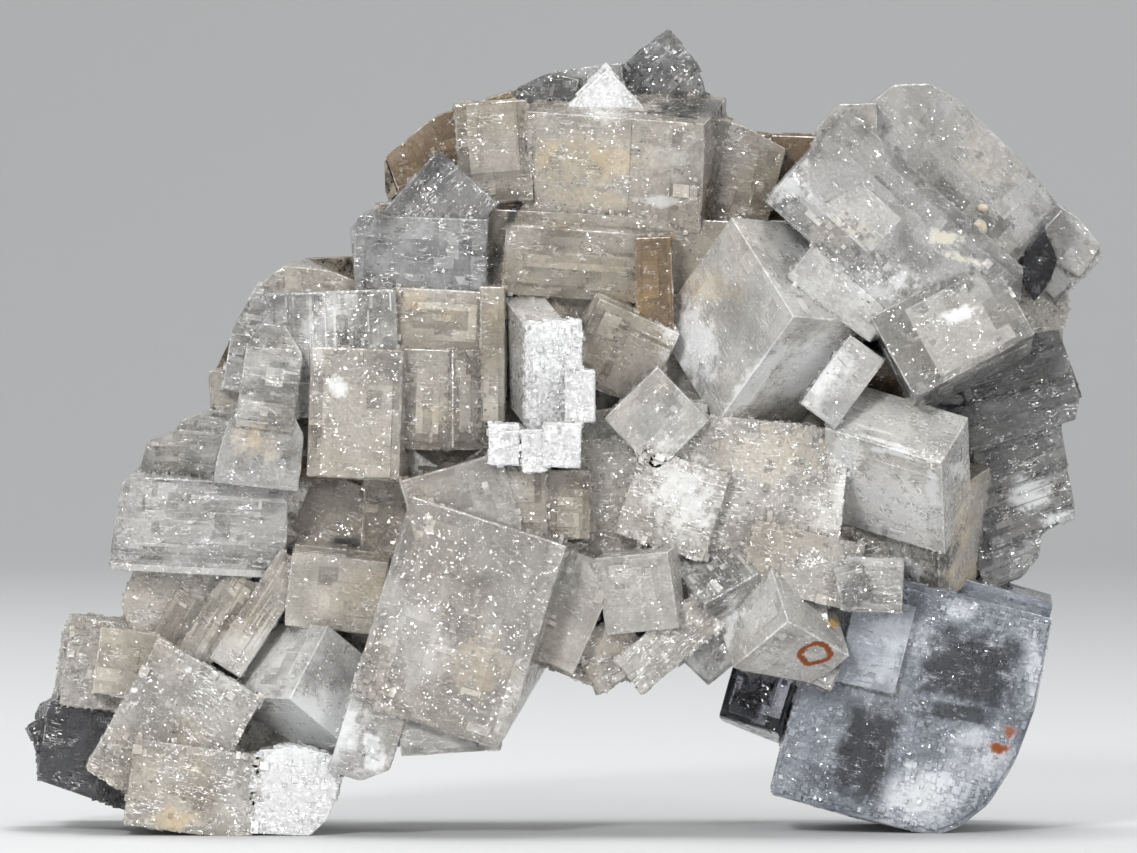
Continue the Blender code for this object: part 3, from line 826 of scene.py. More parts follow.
class Wire:
    """A shader socket that Python arithmetic works on."""

    def __init__(self, shade: "Shade", socket: bpy.types.NodeSocket) -> None:
        """Wrap a socket of a material's tree."""
        self.shade, self.socket = shade, socket

    def __add__(self, other: "Wire | float") -> "Wire":
        """Sum."""
        return self.shade.math("ADD", self, other)

    def __sub__(self, other: "Wire | float") -> "Wire":
        """Difference."""
        return self.shade.math("SUBTRACT", self, other)

    def __rsub__(self, other: float) -> "Wire":
        """Difference from a number."""
        return self.shade.math("SUBTRACT", other, self)

    def __mul__(self, other: "Wire | float") -> "Wire":
        """Product."""
        return self.shade.math("MULTIPLY", self, other)

    def __truediv__(self, other: "Wire | float") -> "Wire":
        """Quotient."""
        return self.shade.math("DIVIDE", self, other)

    def __gt__(self, other: "Wire | float") -> "Wire":
        """1 where greater."""
        return self.shade.math("GREATER_THAN", self, other)

    def __lt__(self, other: "Wire | float") -> "Wire":
        """1 where less."""
        return self.shade.math("LESS_THAN", self, other)

    __radd__ = __add__
    __rmul__ = __mul__


class Shade:
    """A material made of expressions on sockets."""

    def __init__(self, name: str) -> None:
        """An empty material."""
        self.material = bpy.data.materials.new(name)
        self.material.use_nodes = True
        self.tree = self.material.node_tree
        self.tree.nodes.clear()

    def node(self, kind: str, settings: dict | None = None, sockets: dict | None = None) -> bpy.types.Node:
        """A node.

        Args:
            kind: its type.
            settings: its properties, set first.
            sockets: values or wires of its inputs, by name or index.

        Returns:
            The node.
        """
        made = self.tree.nodes.new(kind)
        for name, value in (settings or {}).items():
            setattr(made, name, value)
        for name, value in (sockets or {}).items():
            if isinstance(value, Wire):
                self.tree.links.new(value.socket, made.inputs[name])
            elif isinstance(value, tuple) and len(value) == 3 and made.inputs[name].type == "RGBA":
                made.inputs[name].default_value = (*value, 1.0)
            else:
                made.inputs[name].default_value = value
        return made

    def wire(self, made: bpy.types.Node, output: str | int = 0) -> Wire:
        """One output of a node."""
        return Wire(self, made.outputs[output])

    def math(self, operation: str, one: Wire | float, other: Wire | float = 0.0) -> Wire:
        """A Math node on two values."""
        return self.wire(self.node("ShaderNodeMath", {"operation": operation}, {0: one, 1: other}))

    def vector(self, operation: str, one: Wire | tuple, other: Wire | tuple, output: int = 0) -> Wire:
        """A Vector Math node; output 1 holds the number of a dot product or a length."""
        made = self.node("ShaderNodeVectorMath", {"operation": operation}, {0: one, 1: other})
        return self.wire(made, output)

    def mix(self, share: Wire | float, one: Wire | tuple, other: Wire | tuple) -> Wire:
        """Colour between one and other."""
        made = self.node("ShaderNodeMix", {"data_type": "RGBA"}, {0: share, 6: one, 7: other})
        return self.wire(made, 2)

    def smooth(self, value: Wire, low: float, high: float, start: float = 0.0, end: float = 1.0) -> Wire:
        """A smooth step from start at low to end at high."""
        return self.wire(self.node("ShaderNodeMapRange", {"interpolation_type": "SMOOTHSTEP"},
                                   {0: value, 1: low, 2: high, 3: start, 4: end}))

    def noise(self, where: Wire, scale: float, detail: float = 3.0, rough: float = 0.55,
              twist: float = 0.0) -> Wire:
        """Noise about 0.5, at scale features a millimetre."""
        return self.wire(self.node("ShaderNodeTexNoise", {},
                                   {"Vector": where, "Scale": scale, "Detail": detail, "Roughness": rough,
                                    "Distortion": twist}))

    def cells(self, where: Wire, scale: float) -> bpy.types.Node:
        """Voronoi cells, scale of them a millimetre."""
        return self.node("ShaderNodeTexVoronoi", {}, {"Vector": where, "Scale": scale})


class Effect(Enum):
    """What a mark does where it lies."""

    RUST = "rust"
    YELLOW = "yellow"
    # White marks: milky white patches, and painted light that lifts faces turned down into shade.
    WHITE = "white"
    # Dark marks: dark patches, and painted shade in gaps and where clear salt shows the dark behind it.
    DARK = "dark"
    BEIGE = "beige"
    GLITTER = "glitter"
    CREAM = "cream"


@dataclass(frozen=True)
class Mark:
    """A coloured patch in the salt, an ellipse in the front elevation.

    Attributes:
        effect: what it does; white and dark marks paint light and shade as well as colour.
        centre: its middle, in grid steps.
        radii: across and down, in grid steps, before it is turned.
        turn: degrees its right end rises.
        strength: 0 to 1.
        ragged: how much noise breaks its edge, 0 to 1.
        ring: whether only its rim is coloured.
        square: whether it is a rectangle, with firmer edges than an ellipse.
    """

    effect: Effect
    centre: tuple[float, float]
    radii: tuple[float, float]
    turn: float = 0.0
    strength: float = 1.0
    ragged: float = 0.5
    ring: bool = False
    square: bool = False

    def touches(self, crystal: Crystal) -> bool:
        """Whether its circle of reach meets the crystal's box in the elevation."""
        middle = on_grid(*self.centre, MIDDLE_DEPTH)[[0, 2]]
        corners = (crystal.corner + BLOCK_BITS @ crystal.spans)[:, [0, 2]]
        nearest = middle.clip(corners.min(axis=0), corners.max(axis=0))
        return bool(np.linalg.norm(nearest - middle) < 1.3 * max(self.radii) * STEP_MM)


NO_DEPTH = 1e5      # radius of a mark from front to back, in millimetres: it reaches right through


@dataclass
class SaltShader:
    """The material of one kind of salt in one outcrop.

    Attributes:
        name: what it is called.
        finish: the kind of salt.
        marks: coloured patches in it.
    """

    name: str
    finish: Finish
    marks: tuple[Mark, ...] = ()

    def build(self) -> bpy.types.Material:
        """Milky salt where the clouds are and see-through salt between them.

        The see-through share is a smooth step of cloud, sheet and fine noise, shifted by the
        crystal's own share.  The milk's colour runs from its own to the stain along wider
        noise, times the crystal's tone; rims get a painted highlight, whitened as if they caught
        the light; specks are the middles of a few Voronoi cells; white wisps are veils and white
        dots are painted glints; faces glitter where small cells each tilt the surface their own way.

        Returns:
            The material.
        """
        s, finish = Shade(self.name), self.finish
        place = s.vector("MULTIPLY", s.wire(s.node("ShaderNodeTexCoord"), "Object"), (1000.0,) * 3)
        lattice = s.wire(s.node("ShaderNodeAttribute", {"attribute_name": "lattice"}), "Vector")
        nature = s.node("ShaderNodeSeparateColor", {}, {0: s.wire(s.node(
            "ShaderNodeAttribute", {"attribute_name": "nature"}), "Color")})
        tone, own_clear, own_stain = (s.wire(nature, index) for index in range(3))

        cloud = s.noise(lattice, 0.12, 3.0, 0.55)
        fine = s.noise(lattice, 1.9, 2.0, 0.7)
        wide = s.noise(place, 0.07, 2.0, 0.6)
        patchy = s.noise(place, 0.45, 4.0, 0.68)
        rim = s.wire(s.node("ShaderNodeAttribute", {"attribute_name": "rim"}), "Fac")
        rim = rim * s.smooth(patchy, 0.40, 0.60)
        effects = {effect: self.mark_mask(s, place, patchy, effect) for effect in Effect}
        cell = s.cells(s.vector("MULTIPLY", lattice, (0.8, 1.5, 1.1)), 2.1)
        far = s.wire(cell, "Distance")
        kind = s.node("ShaderNodeSeparateColor", {}, {0: s.wire(cell, "Color")})
        veils_and_painted_glints = self.veils_and_painted_glints(s, lattice, far, kind, fine, patchy, effects[Effect.GLITTER])

        clear = s.smooth(cloud + 0.30 * own_clear, 0.50, 0.80, max(0.0, finish.clear - finish.spread),
                         min(0.97, finish.clear + finish.spread))
        clear = clear - 0.8 * effects[Effect.WHITE] - 0.2 * rim - 0.8 * veils_and_painted_glints
        clear = clear - effects[Effect.RUST] - effects[Effect.YELLOW] - 0.5 * effects[Effect.BEIGE]
        clear = clear - effects[Effect.CREAM]
        clear = s.math("MINIMUM", s.math("MAXIMUM", clear, 0.0), 0.98)

        stain = s.smooth(wide + 0.25 * fine, 0.50, 0.80) * own_stain * finish.stained
        stain = s.math("MINIMUM", stain + effects[Effect.BEIGE], 1.0)
        colour = s.mix(stain, finish.milk, finish.stain)
        bright = tone * s.smooth(cloud + 0.5 * fine, 0.50, 1.00, 0.70, 1.30)
        colour = s.vector("MULTIPLY", colour, self.grey(s, bright))
        # White marks: milky white, and painted light on faces that face down into shade.
        colour = s.mix(effects[Effect.WHITE], colour, (0.66, 0.67, 0.68))
        # Painted highlight: rims and bevels are whitened as if they caught the light.
        colour = s.mix(0.32 * rim, colour, (0.78, 0.78, 0.78))
        colour = s.mix(effects[Effect.CREAM], colour, (0.52, 0.48, 0.38))
        # Dark marks: painted shade in gaps and behind clear salt, as well as dark patches.
        colour = s.mix(effects[Effect.DARK], colour, (0.04, 0.042, 0.046))
        speck = (far + 0.4 * fine < 0.50) * (s.wire(kind, 2) > 1 - 0.02 * finish.specks)
        colour = s.mix(speck * 0.8, colour, (0.035, 0.028, 0.022))
        # Painted glints: white dots stand in for glints; the white wisps are veils in the salt.
        colour = s.mix(veils_and_painted_glints, colour, (0.97, 0.97, 0.97))
        colour = s.mix(effects[Effect.YELLOW], colour, (0.50, 0.30, 0.06))
        colour = s.mix(effects[Effect.RUST], colour, (0.21, 0.055, 0.010))

        strength = s.smooth(patchy, 0.44, 0.60, 0.06 + 0.25 * finish.sparkle, 0.95)
        strength = strength + 0.6 * effects[Effect.GLITTER]
        if self.marks:
            strength = s.math("MINIMUM", strength, 1.0)
        bump = s.wire(s.node("ShaderNodeBump", {}, {"Strength": strength, "Distance": 0.001,
                                                    "Height": self.relief(s, lattice, place)}))
        rough = s.smooth(cloud + 0.5 * fine, 0.5, 1.0, finish.roughness * 0.5, finish.roughness * 1.6)
        milky = s.node("ShaderNodeBsdfPrincipled", {},
                       {"Base Color": colour, "Roughness": rough, "Normal": bump, "IOR": 1.544})
        glassy = s.node("ShaderNodeBsdfPrincipled", {},
                        {"Base Color": self.tint(),
                         "Roughness": rough, "Normal": bump, "IOR": 1.544, "Transmission Weight": 1.0})
        body = s.wire(s.node("ShaderNodeMixShader", {}, {0: clear, 1: s.wire(milky), 2: s.wire(glassy)}))
        end = s.node("ShaderNodeOutputMaterial", {}, {"Surface": body})
        if finish.smoke_per_m:
            smoke = s.node("ShaderNodeVolumeAbsorption", {},
                           {"Color": finish.smoke, "Density": finish.smoke_per_m})
            s.tree.links.new(smoke.outputs[0], end.inputs["Volume"])
        return s.material

    def tint(self) -> tuple[float, ...]:
        """Colour of the see-through salt: towards the milk's hue, times the smoke if none absorbs."""
        milk, smoke = self.finish.milk, CLEAR_SALT if self.finish.smoke_per_m else self.finish.smoke
        return tuple((0.55 + 0.45 * part / max(milk)) * shade for part, shade in zip(milk, smoke))

    def veils_and_painted_glints(self, s: Shade, lattice: Wire, far: Wire, kind: bpy.types.Node, fine: Wire, patchy: Wire,
               glitter: Wire) -> Wire:
        """Where the salt is snow white: wisps of veil along ridges of noise, and painted glints, white specks
        in a few cells.

        A ridge is 1 - |2 n - 1|, near 1 where the noise n crosses a half.

        Args:
            s: the material.
            lattice: place in the crystal's axes.
            far: distance from the middle of a cell.
            kind: the cell's own three numbers.
            fine: fine noise, which breaks their edges.
            patchy: noise that gathers them.
            glitter: where there are more of them.

        Returns:
            The mask.
        """
        sheet = s.noise(s.vector("MULTIPLY", lattice, (0.25, 1.0, 0.3)), 1.0, 3.0, 0.6)
        ridge = 1.0 - s.math("ABSOLUTE", sheet - 0.5) * 2.0
        gather = s.smooth(patchy, 0.45, 0.60, 0.03, 1.0)
        wisps = s.smooth(ridge, 0.955, 0.995) * gather * (0.22 + 0.55 * self.finish.sparkle)
        share = 0.02 + 0.16 * self.finish.sparkle
        chosen = s.wire(kind, 1) + share * gather + 0.30 * glitter > 1.0
        size = 0.02 + 0.30 * s.wire(kind, 0) * s.wire(kind, 0)
        # The dots are painted glints.
        dots = chosen * s.smooth(far + 1.3 * fine - 0.65 - size, -0.05, 0.15, 1.0, 0.0)
        return s.math("MAXIMUM", wisps, dots)

    def grey(self, s: Shade, value: Wire) -> Wire:
        """A number as a vector of three."""
        return s.wire(s.node("ShaderNodeCombineXYZ", {}, {0: value, 1: value, 2: value}))

    def relief(self, s: Shade, lattice: Wire, place: Wire) -> Wire:
        """Height of the surface in millimetres.

        Noise ripples it, and small facets add (cell colour - 0.5) . (place - cell middle).

        Args:
            s: the material.
            lattice: place in the crystal's axes.
            place: place in the object.

        Returns:
            The height.
        """
        ripple = s.noise(lattice, 1.4, 1.0, 0.6)
        facet = s.cells(place, 3.0)
        tilt = s.vector("SUBTRACT", s.wire(facet, "Color"), (0.5, 0.5, 0.5))
        offset = s.vector("SUBTRACT", place, s.wire(facet, "Position"))
        slope = s.vector("DOT_PRODUCT", tilt, offset, 1)
        return 0.06 * ripple + slope * (0.45 + 0.7 * self.finish.sparkle)

    def mark_mask(self, s: Shade, place: Wire, patchy: Wire, effect: Effect) -> Wire | float:
        """Where the marks of one effect lie.

        The distance from a mark's middle, as a share of its radii and broken by noise, is
        turned into 1 inside and 0 outside, or 1 on the rim alone for a ring.

        Args:
            s: the material.
            place: place in the object, in millimetres.
            patchy: noise that breaks the edge.
            effect: which effect.

        Returns:
            The mask, or 0 where nothing has the effect.
        """
        mask: Wire | float = 0.0
        broken = (patchy - 0.5) * 6.0 if self.marks else patchy
        for mark in self.marks:
            if mark.effect is not effect:
                continue
            turned = s.wire(s.node("ShaderNodeMapping", {"vector_type": "TEXTURE"}, {
                "Vector": place, "Location": tuple(on_grid(*mark.centre, MIDDLE_DEPTH)),
                "Rotation": (0.0, -math.radians(mark.turn), 0.0),
                "Scale": (mark.radii[0] * STEP_MM, NO_DEPTH, mark.radii[1] * STEP_MM)}))
            if mark.square:
                sides = s.node("ShaderNodeSeparateXYZ", {}, {0: turned})
                across, down = (s.math("ABSOLUTE", s.wire(sides, axis)) for axis in (0, 2))
                far = s.math("MAXIMUM", across, down)
            else:
                far = s.vector("LENGTH", turned, (0.0, 0.0, 0.0), 1)
            far = far + broken * mark.ragged
            if mark.square:
                here = s.smooth(far, 0.50, 1.15, mark.strength, 0.0)
            elif mark.ring:
                here = s.smooth(s.math("ABSOLUTE", far - 0.8), 0.12, 0.32, mark.strength, 0.0)
            else:
                here = s.smooth(far, 0.35, 1.15, mark.strength, 0.0)
            mask = s.math("MAXIMUM", mask, here)
        return mask


RIGHT_FOOT = (
    facing("foot_cube", (914, 704), -150, (233, 240, 190), -14.5, Salt.SMOKY, 0, 3,
           cuts=(((1053, 599), (1044, 652), (1035, 700), (1013, 759), (987, 800), (959, 822),
                 (925, 836), (850, 823), (768, 791)),)),
    facing("foot_front", (914, 704), -153, (228, 226, 60), -14.5, Salt.SMOKY, 0, 3,
           cuts=(((1050, 604), (1041, 652), (1032, 699), (1010, 757), (984, 797), (956, 818),
                  (925, 829), (778, 789)),)),
    facing("foot_plate", (1001, 602), -95, (100, 26, 90), -16, Salt.SMOKY, 0, -4,
           cuts=(((1053, 596), (1052, 621)),)),
    facing("foot_shoulder", (874, 640), -162, (60, 90, 100), -14, Salt.SMOKY, 0, 2, veiled=-0.3),
    # The arch crystal is near-black salt: painted shade seen through the arch.
    facing("arch_crystal", (758, 690), -40, (64, 74, 110), -16, Salt.DARK, -10, 8,
           cuts=(((777, 749), (718, 723), (733, 668)),)),
)

UNDERSIDE = (
    cornered("rust_block", (829, 634), -196, ((-98, 19), (-10, -75), (19, 25)), Salt.CLOUDY),
    cornered("rust_cube", (786, 614), -252, ((62, 37), (-55, 47), (-18, -56)), Salt.CLOUDY,
             cuts=(((850, 656), (809, 678), (728, 662)),), veiled=-0.5),
    facing("rust_lip", (806, 662), -178, (62, 26, 80), -24, Salt.CLOUDY, 0, 8),
    cornered("sparkle_cube", (703, 598), -225, ((54, -30), (10, 48), (-33, -40)), Salt.CLEAVED),
    facing("tooth_right", (712, 632), -190, (80, 68, 100), 40, Salt.CLOUDY,
           cuts=(((733, 668), (710, 683), (681, 655)),)),
    facing("tooth_mid", (668, 638), -205, (104, 44, 110), 40, Salt.FROSTED),
    facing("tooth_left", (611, 648), -185, (62, 60, 110), 30, Salt.FROSTED),
    facing("tooth_stub", (581, 652), -180, (74, 56, 100), -22, Salt.FROSTED,
           cuts=(((603, 686), (552, 665)),)),
    facing("speckled_block", (636, 588), -215, (76, 78, 120), 6, Salt.SPECKLED, -18, -8),
    facing("bottom_mid", (800, 560), -200, (110, 66, 100), -14, Salt.FROSTED),
    facing("under_window", (872, 580), -205, (56, 54, 80), -3, Salt.CLEAVED),
    facing("small_wedge", (849, 577), -215, (28, 36, 50), 14, Salt.CLEAVED),
)

LEFT_FOOT = (
    facing("slab_cube", (458, 617), -240, (163, 213, 120), -17.5, Salt.SPECKLED, -9, -3,
           cuts=(((550, 660), (496, 744)),)),
    facing("slab_foot", (449, 710), -222, (98, 72, 120), 4, Salt.CLOUDY, veiled=-0.3),
    facing("slab_wing", (570, 606), -205, (56, 112, 110), -24, Salt.SPECKLED),
    facing("slab_lip", (376, 714), -226, (58, 122, 100), -17, Salt.CLOUDY,
           cuts=(((420, 752), (340, 782)),)),
    cornered("blue_cube", (292, 692), -225, ((-75, 0), (38, -72), (80, 70)), Salt.CLOUDY, veiled=-1.0),
    # Painted highlight: the sparkle block's front is whiter salt where it catches the lamps.
    facing("sparkle_block", (296, 785), -205, (88, 88, 170), -4, Salt.BRIGHT_AND_PAINTED_HIGHLIGHT, habit=Habit.ROUGH,
           cuts=(((344, 776), (330, 812), (312, 829)),
                 ((252, 760), (262, 744), (300, 741), (332, 748), (344, 770)))),
    facing("rough_foot", (176, 728), -190, (118, 150, 160), -30, Salt.FROSTED,
           cuts=(((180, 842), (60, 790)), ((90, 842), (90, 600)))),
    facing("rough_toe", (196, 784), -205, (128, 86, 165), -8, Salt.FROSTED,
           cuts=(((150, 836), (90, 800)),)),
    facing("grey_lump_low", (90, 744), -130, (92, 112, 130), -8, Salt.GREY, 6, 0,
           cuts=(((110, 802), (40, 777), (32, 718), (36, 708), (50, 700)),)),
    facing("grey_lump_high", (101, 662), -140, (66, 88, 120), -6, Salt.FROSTED, 6, 0,
           cuts=(((50, 700), (63, 632), (72, 614)),)),
    facing("grey_step", (66, 742), -112, (56, 60, 90), 24, Salt.GREY),
    facing("foot_bridge", (128, 660), -160, (58, 66, 110), -8, Salt.BEIGE, veiled=-0.6),
    facing("left_slab", (200, 524), -170, (176, 94, 120), -3, Salt.CLEAVED, 3, -4,
           cuts=(((110, 566), (124, 481), (138, 467)),)),
    facing("under_slab", (167, 600), -140, (118, 88, 150), -14, Salt.FROSTED,
           cuts=(((113, 622), (122, 600), (110, 566)),)),
    facing("cavity_sill", (338, 590), -178, (96, 74, 110), -6, Salt.BEIGE, 0, -8, veiled=-0.5),
)

STAIR_PLACES = (((262, 610), -172), ((212, 628), -158), ((163, 650), -150))
STAIRS = tuple(facing(f"stair_{number}", place, depth, (36, 128, 130), -34 + number, Salt.BEIGE,
                      habit=Habit.FLUTED)
               for number, (place, depth) in enumerate(STAIR_PLACES, start=1))

UPPER_LEFT = (
    facing("ledge_left", (188, 450), -130, (92, 44, 110), -3, Salt.CLEAVED, 0, -5,
           cuts=(((143, 462), (148, 440), (190, 424)),)),
    facing("ledge_step", (205, 427), -125, (56, 38, 90), -3, Salt.CLEAVED,
           cuts=(((175, 432), (182, 418), (212, 408)),)),
    facing("amber_block", (262, 446), -195, (84, 74, 100), -6, Salt.CLOUDY,
           cuts=(((214, 470), (236, 404)), ((292, 404), (310, 440)))),
    facing("far_left", (234, 397), -120, (44, 58, 80), 4, Salt.BEIGE),
    facing("left_shoulder", (262, 338), -140, (60, 108, 100), -9, Salt.CLEAVED,
           cuts=(((232, 330), (262, 276)),)),
    facing("cleaved_mass", (334, 352), -170, (130, 124, 120), 2, Salt.CLEAVED, habit=Habit.FLUTED),
    facing("edge_plate", (356, 410), -190, (92, 128, 100), -2, Salt.BEIGE, -8, 0),
    facing("arched_shell", (273, 374), -200, (56, 104, 80), -8, Salt.CLEAVED,
           cuts=(((242, 352), (266, 318)), ((284, 318), (304, 350)))),
    facing("brown_top", (312, 298), -140, (100, 62, 110), -6, Salt.BEIGE, 0, -5,
           cuts=(((257, 286), (287, 263), (306, 259), (368, 284)),)),
    cornered("beige_cube", (450, 415), -180, ((28, -66), (-45, 28), (39, 28)), Salt.BEIGE),
    facing("beige_front", (426, 396), -172, (56, 98, 60), -2, Salt.BEIGE),
    facing("beige_side", (470, 396), -170, (38, 98, 60), 0, Salt.BEIGE, 28),
    facing("beige_upper", (440, 318), -158, (88, 60, 100), -3, Salt.BEIGE),
    facing("see_through", (421, 270), -150, (132, 108, 120), -2, Salt.STREAKED, 4, -5,
           cuts=(((353, 262), (349, 230), (362, 213), (388, 204)),), habit=Habit.SMOOTH),
    facing("diamond", (441, 207), -135, (82, 80, 120), 48, Salt.STREAKED, habit=Habit.SMOOTH),
    facing("ridge_left", (458, 150), -70, (140, 80, 150), 20, Salt.BROWN,
           cuts=(((386, 196), (382, 160), (433, 117), (516, 89)),)),
    facing("ridge_face", (494, 152), -100, (72, 100, 120), 4, Salt.BEIGE),
    facing("shaded_column", (493, 352), -165, (24, 134, 100), 0, Salt.BEIGE, veiled=-0.3),
)

TOP = (
    facing("top_box", (612, 172), -110, (182, 112, 140), -4, Salt.BEIGE, -9, -11),
    facing("peak", (664, 84), 0, (76, 78, 100), 40, Salt.STREAKED, habit=Habit.ROUGH,
           cuts=(((622, 66), (668, 32), (679, 34), (699, 67), (706, 92)),)),
    facing("peak_root", (690, 118), 5, (80, 50, 90), -10, Salt.BROWN, cuts=(((705, 89), (727, 116)),)),
    # Painted highlight: the white point and bar are whiter salt where they catch the lamps.
    facing("white_point", (607, 108), -78, (54, 56, 60), 43, Salt.BRIGHT_AND_PAINTED_HIGHLIGHT, habit=Habit.SMOOTH),
    facing("white_bar", (594, 84), -62, (11, 40, 60), -45, Salt.BRIGHT_AND_PAINTED_HIGHLIGHT, habit=Habit.SMOOTH),
    facing("top_small_1", (544, 98), -50, (58, 52, 90), -14, Salt.STREAKED,
           cuts=(((515, 89), (549, 73), (575, 69)),)),
    facing("top_small_2", (590, 88), -40, (66, 46, 80), 3, Salt.CLOUDY, cuts=(((575, 69), (602, 65)),)),
    facing("brown_block", (735, 174), -70, (86, 98, 140), -14, Salt.BEIGE, 0, -2,
           cuts=(((724, 115), (768, 139)),), veiled=0.1),
    facing("brown_back", (785, 178), -40, (90, 84, 140), -2, Salt.BROWN),
    facing("ledge_block", (587, 264), -140, (166, 70, 140), -4, Salt.BEIGE, 0, -8),
    facing("ledge_end", (654, 282), -152, (36, 92, 120), 2, Salt.BROWN),
)

UPPER_RIGHT = (
    facing("upper_main", (899, 239), -215, (255, 122, 150), -42, Salt.CLOUDY,
           cuts=(((1021, 250), (1016, 300)),), veiled=0.1),
    facing("upper_notch", (845, 140), -196, (60, 74, 100), 2, Salt.CLOUDY,
           cuts=(((804, 138), (837, 103), (869, 102)),)),
    facing("upper_back", (941, 179), -170, (216, 140, 150), -42, Salt.CLOUDY,
           cuts=(((869, 102), (892, 84), (927, 83), (955, 98), (1019, 159), (1054, 202)),), veiled=0.1),
    facing("upper_low", (949, 322), -225, (135, 92, 120), 28, Salt.CLOUDY, 6, 10),
    facing("upper_join", (852, 274), -213, (104, 84, 100), -38, Salt.CLOUDY, veiled=-0.9),
    facing("lobe", (1054, 254), -120, (70, 66, 100), -45, Salt.CLOUDY),
    # A near-black block: painted shade where the clear lobe shows only dark behind it.
    facing("dark_window", (1036, 260), -174, (44, 80, 60), -14, Salt.DARK,
           cuts=(((1040, 221), (1055, 258), (1045, 284), (1031, 299), (1018, 274), (1024, 244),
                  (1040, 221)),)),
    facing("lobe_cap", (1066, 240), -126, (60, 50, 90), -32, Salt.CLOUDY,
           cuts=(((1054, 202), (1074, 214), (1097, 242), (1099, 260), (1079, 275)),)),
    facing("lobe_knob", (1044, 304), -112, (56, 52, 80), 8, Salt.FROSTED,
           cuts=(((1067, 280), (1068, 316), (1059, 333)),)),
    facing("dark_clear", (1016, 368), -100, (116, 88, 120), 16, Salt.STREAKED,
           cuts=(((1059, 333), (1080, 392)),)),
    facing("mid_right", (1014, 414), -110, (132, 44, 120), 16, Salt.STREAKED,
           cuts=(((1080, 392), (1074, 419), (1058, 424)),)),
    facing("stack_top", (1022, 452), -95, (96, 54, 120), 20, Salt.STREAKED,
           cuts=(((1060, 423), (1067, 464)),)),
    facing("stack_mid", (1028, 504), -90, (98, 60, 120), 20, Salt.STREAKED,
           cuts=(((1066, 464), (1075, 508), (1074, 520), (1041, 540)),)),
    facing("stack_low", (1010, 550), -85, (72, 58, 110), 20, Salt.STREAKED,
           cuts=(((1041, 539), (1039, 556), (1017, 583)),)),
)

FRONT = (
    cornered("window_cube", (937, 458), -250, ((-115, -34), (28, -45), (6, 94)), Salt.CLEAVED,
           cuts=(((990, 510), (950, 566)), ((900, 560), (820, 520))), habit=Habit.SMOOTH, veiled=-1.0),
    cornered("window_base", (936, 500), -174, ((-95, -24), (54, -34), (2, 102)), Salt.CLOUDY),
    cornered("corner_cube", (791, 312), -255, ((-61, -97), (-76, 109), (79, 8)), Salt.CLOUDY, veiled=-1.0),
    facing("strip_plate", (840, 378), -222, (42, 84, 90), -36, Salt.CLOUDY, veiled=-0.6),
    facing("beige_facet", (622, 352), -160, (88, 84, 100), -24, Salt.BEIGE, 8, -8),
    facing("pointed", (656, 416), -200, (74, 74, 90), 44, Salt.CLOUDY, veiled=-0.5),
    cornered("tall_crystal", (527, 322), -240, ((-25, -28), (40, -2), (0, 102)), Salt.CLOUDY, veiled=-0.3),
    # Painted highlight: the tall crystal's front face and steps are whiter salt where they catch the lamps.
    cornered("tall_face", (527, 322), -242, ((-3, -3.4), (52, -2.6), (0, 102)), Salt.BRIGHT_AND_PAINTED_HIGHLIGHT,
             habit=Habit.SMOOTH),
    facing("tall_step_1", (574, 342), -228, (15, 50, 90), 0, Salt.BRIGHT_AND_PAINTED_HIGHLIGHT),
    facing("tall_step_2", (580, 392), -231, (29, 51, 100), 0, Salt.BRIGHT_AND_PAINTED_HIGHLIGHT),
    facing("tall_foot_1", (505, 440), -236, (30, 40, 80), 0, Salt.BRIGHT_AND_PAINTED_HIGHLIGHT),
    facing("tall_foot_2", (534, 446), -241, (23, 42, 80), 2, Salt.BRIGHT_AND_PAINTED_HIGHLIGHT),
    facing("tall_foot_3", (562, 440), -245, (37, 44, 80), -2, Salt.BRIGHT_AND_PAINTED_HIGHLIGHT),
    facing("pillar_1", (524, 492), -212, (46, 76, 90), 1, Salt.BEIGE),
    facing("pillar_2", (568, 500), -206, (44, 68, 90), -1, Salt.BEIGE),
    facing("left_point", (462, 500), -218, (104, 78, 120), 16, Salt.SPECKLED),
    facing("granular", (742, 486), -185, (200, 140, 120), -6, Salt.FROSTED),
    facing("sparkle_patch", (672, 500), -200, (92, 90, 110), -18, Salt.FROSTED),
    facing("lower_centre", (630, 500), -175, (160, 190, 120), 4, Salt.FROSTED),
)

ROOT = (
    # Brown salt in the root, partly painted shade in recesses and gaps.
    facing("cavity_back", (362, 512), -110, (112, 92, 100), -26, Salt.BROWN, veiled=-1.0),
    facing("root_middle", (620, 400), -120, (500, 370, 150), -3, Salt.BEIGE, 2, 3),
    facing("root_left", (290, 590), -120, (290, 250, 140), -22, Salt.BEIGE, -3, 0),
    facing("root_right", (930, 420), -62, (160, 410, 110), 0, Salt.STREAKED, 3, -2),
    facing("root_gap", (878, 384), -150, (60, 60, 80), 8, Salt.BROWN, 0, -20),
    facing("root_foot", (205, 728), -120, (190, 150, 140), -10, Salt.BEIGE, 0, 2),
    facing("root_under", (700, 560), -150, (150, 90, 150), 0, Salt.FROSTED),
    facing("root_amber", (318, 436), -138, (64, 84, 90), 2, Salt.BROWN),
    facing("root_teeth", (664, 616), -118, (150, 62, 120), 0, Salt.BEIGE),
    facing("root_ridge", (560, 250), -85, (300, 140, 150), 0, Salt.BROWN),
    facing("root_window", (880, 500), -118, (120, 120, 100), 0, Salt.FROSTED),
)

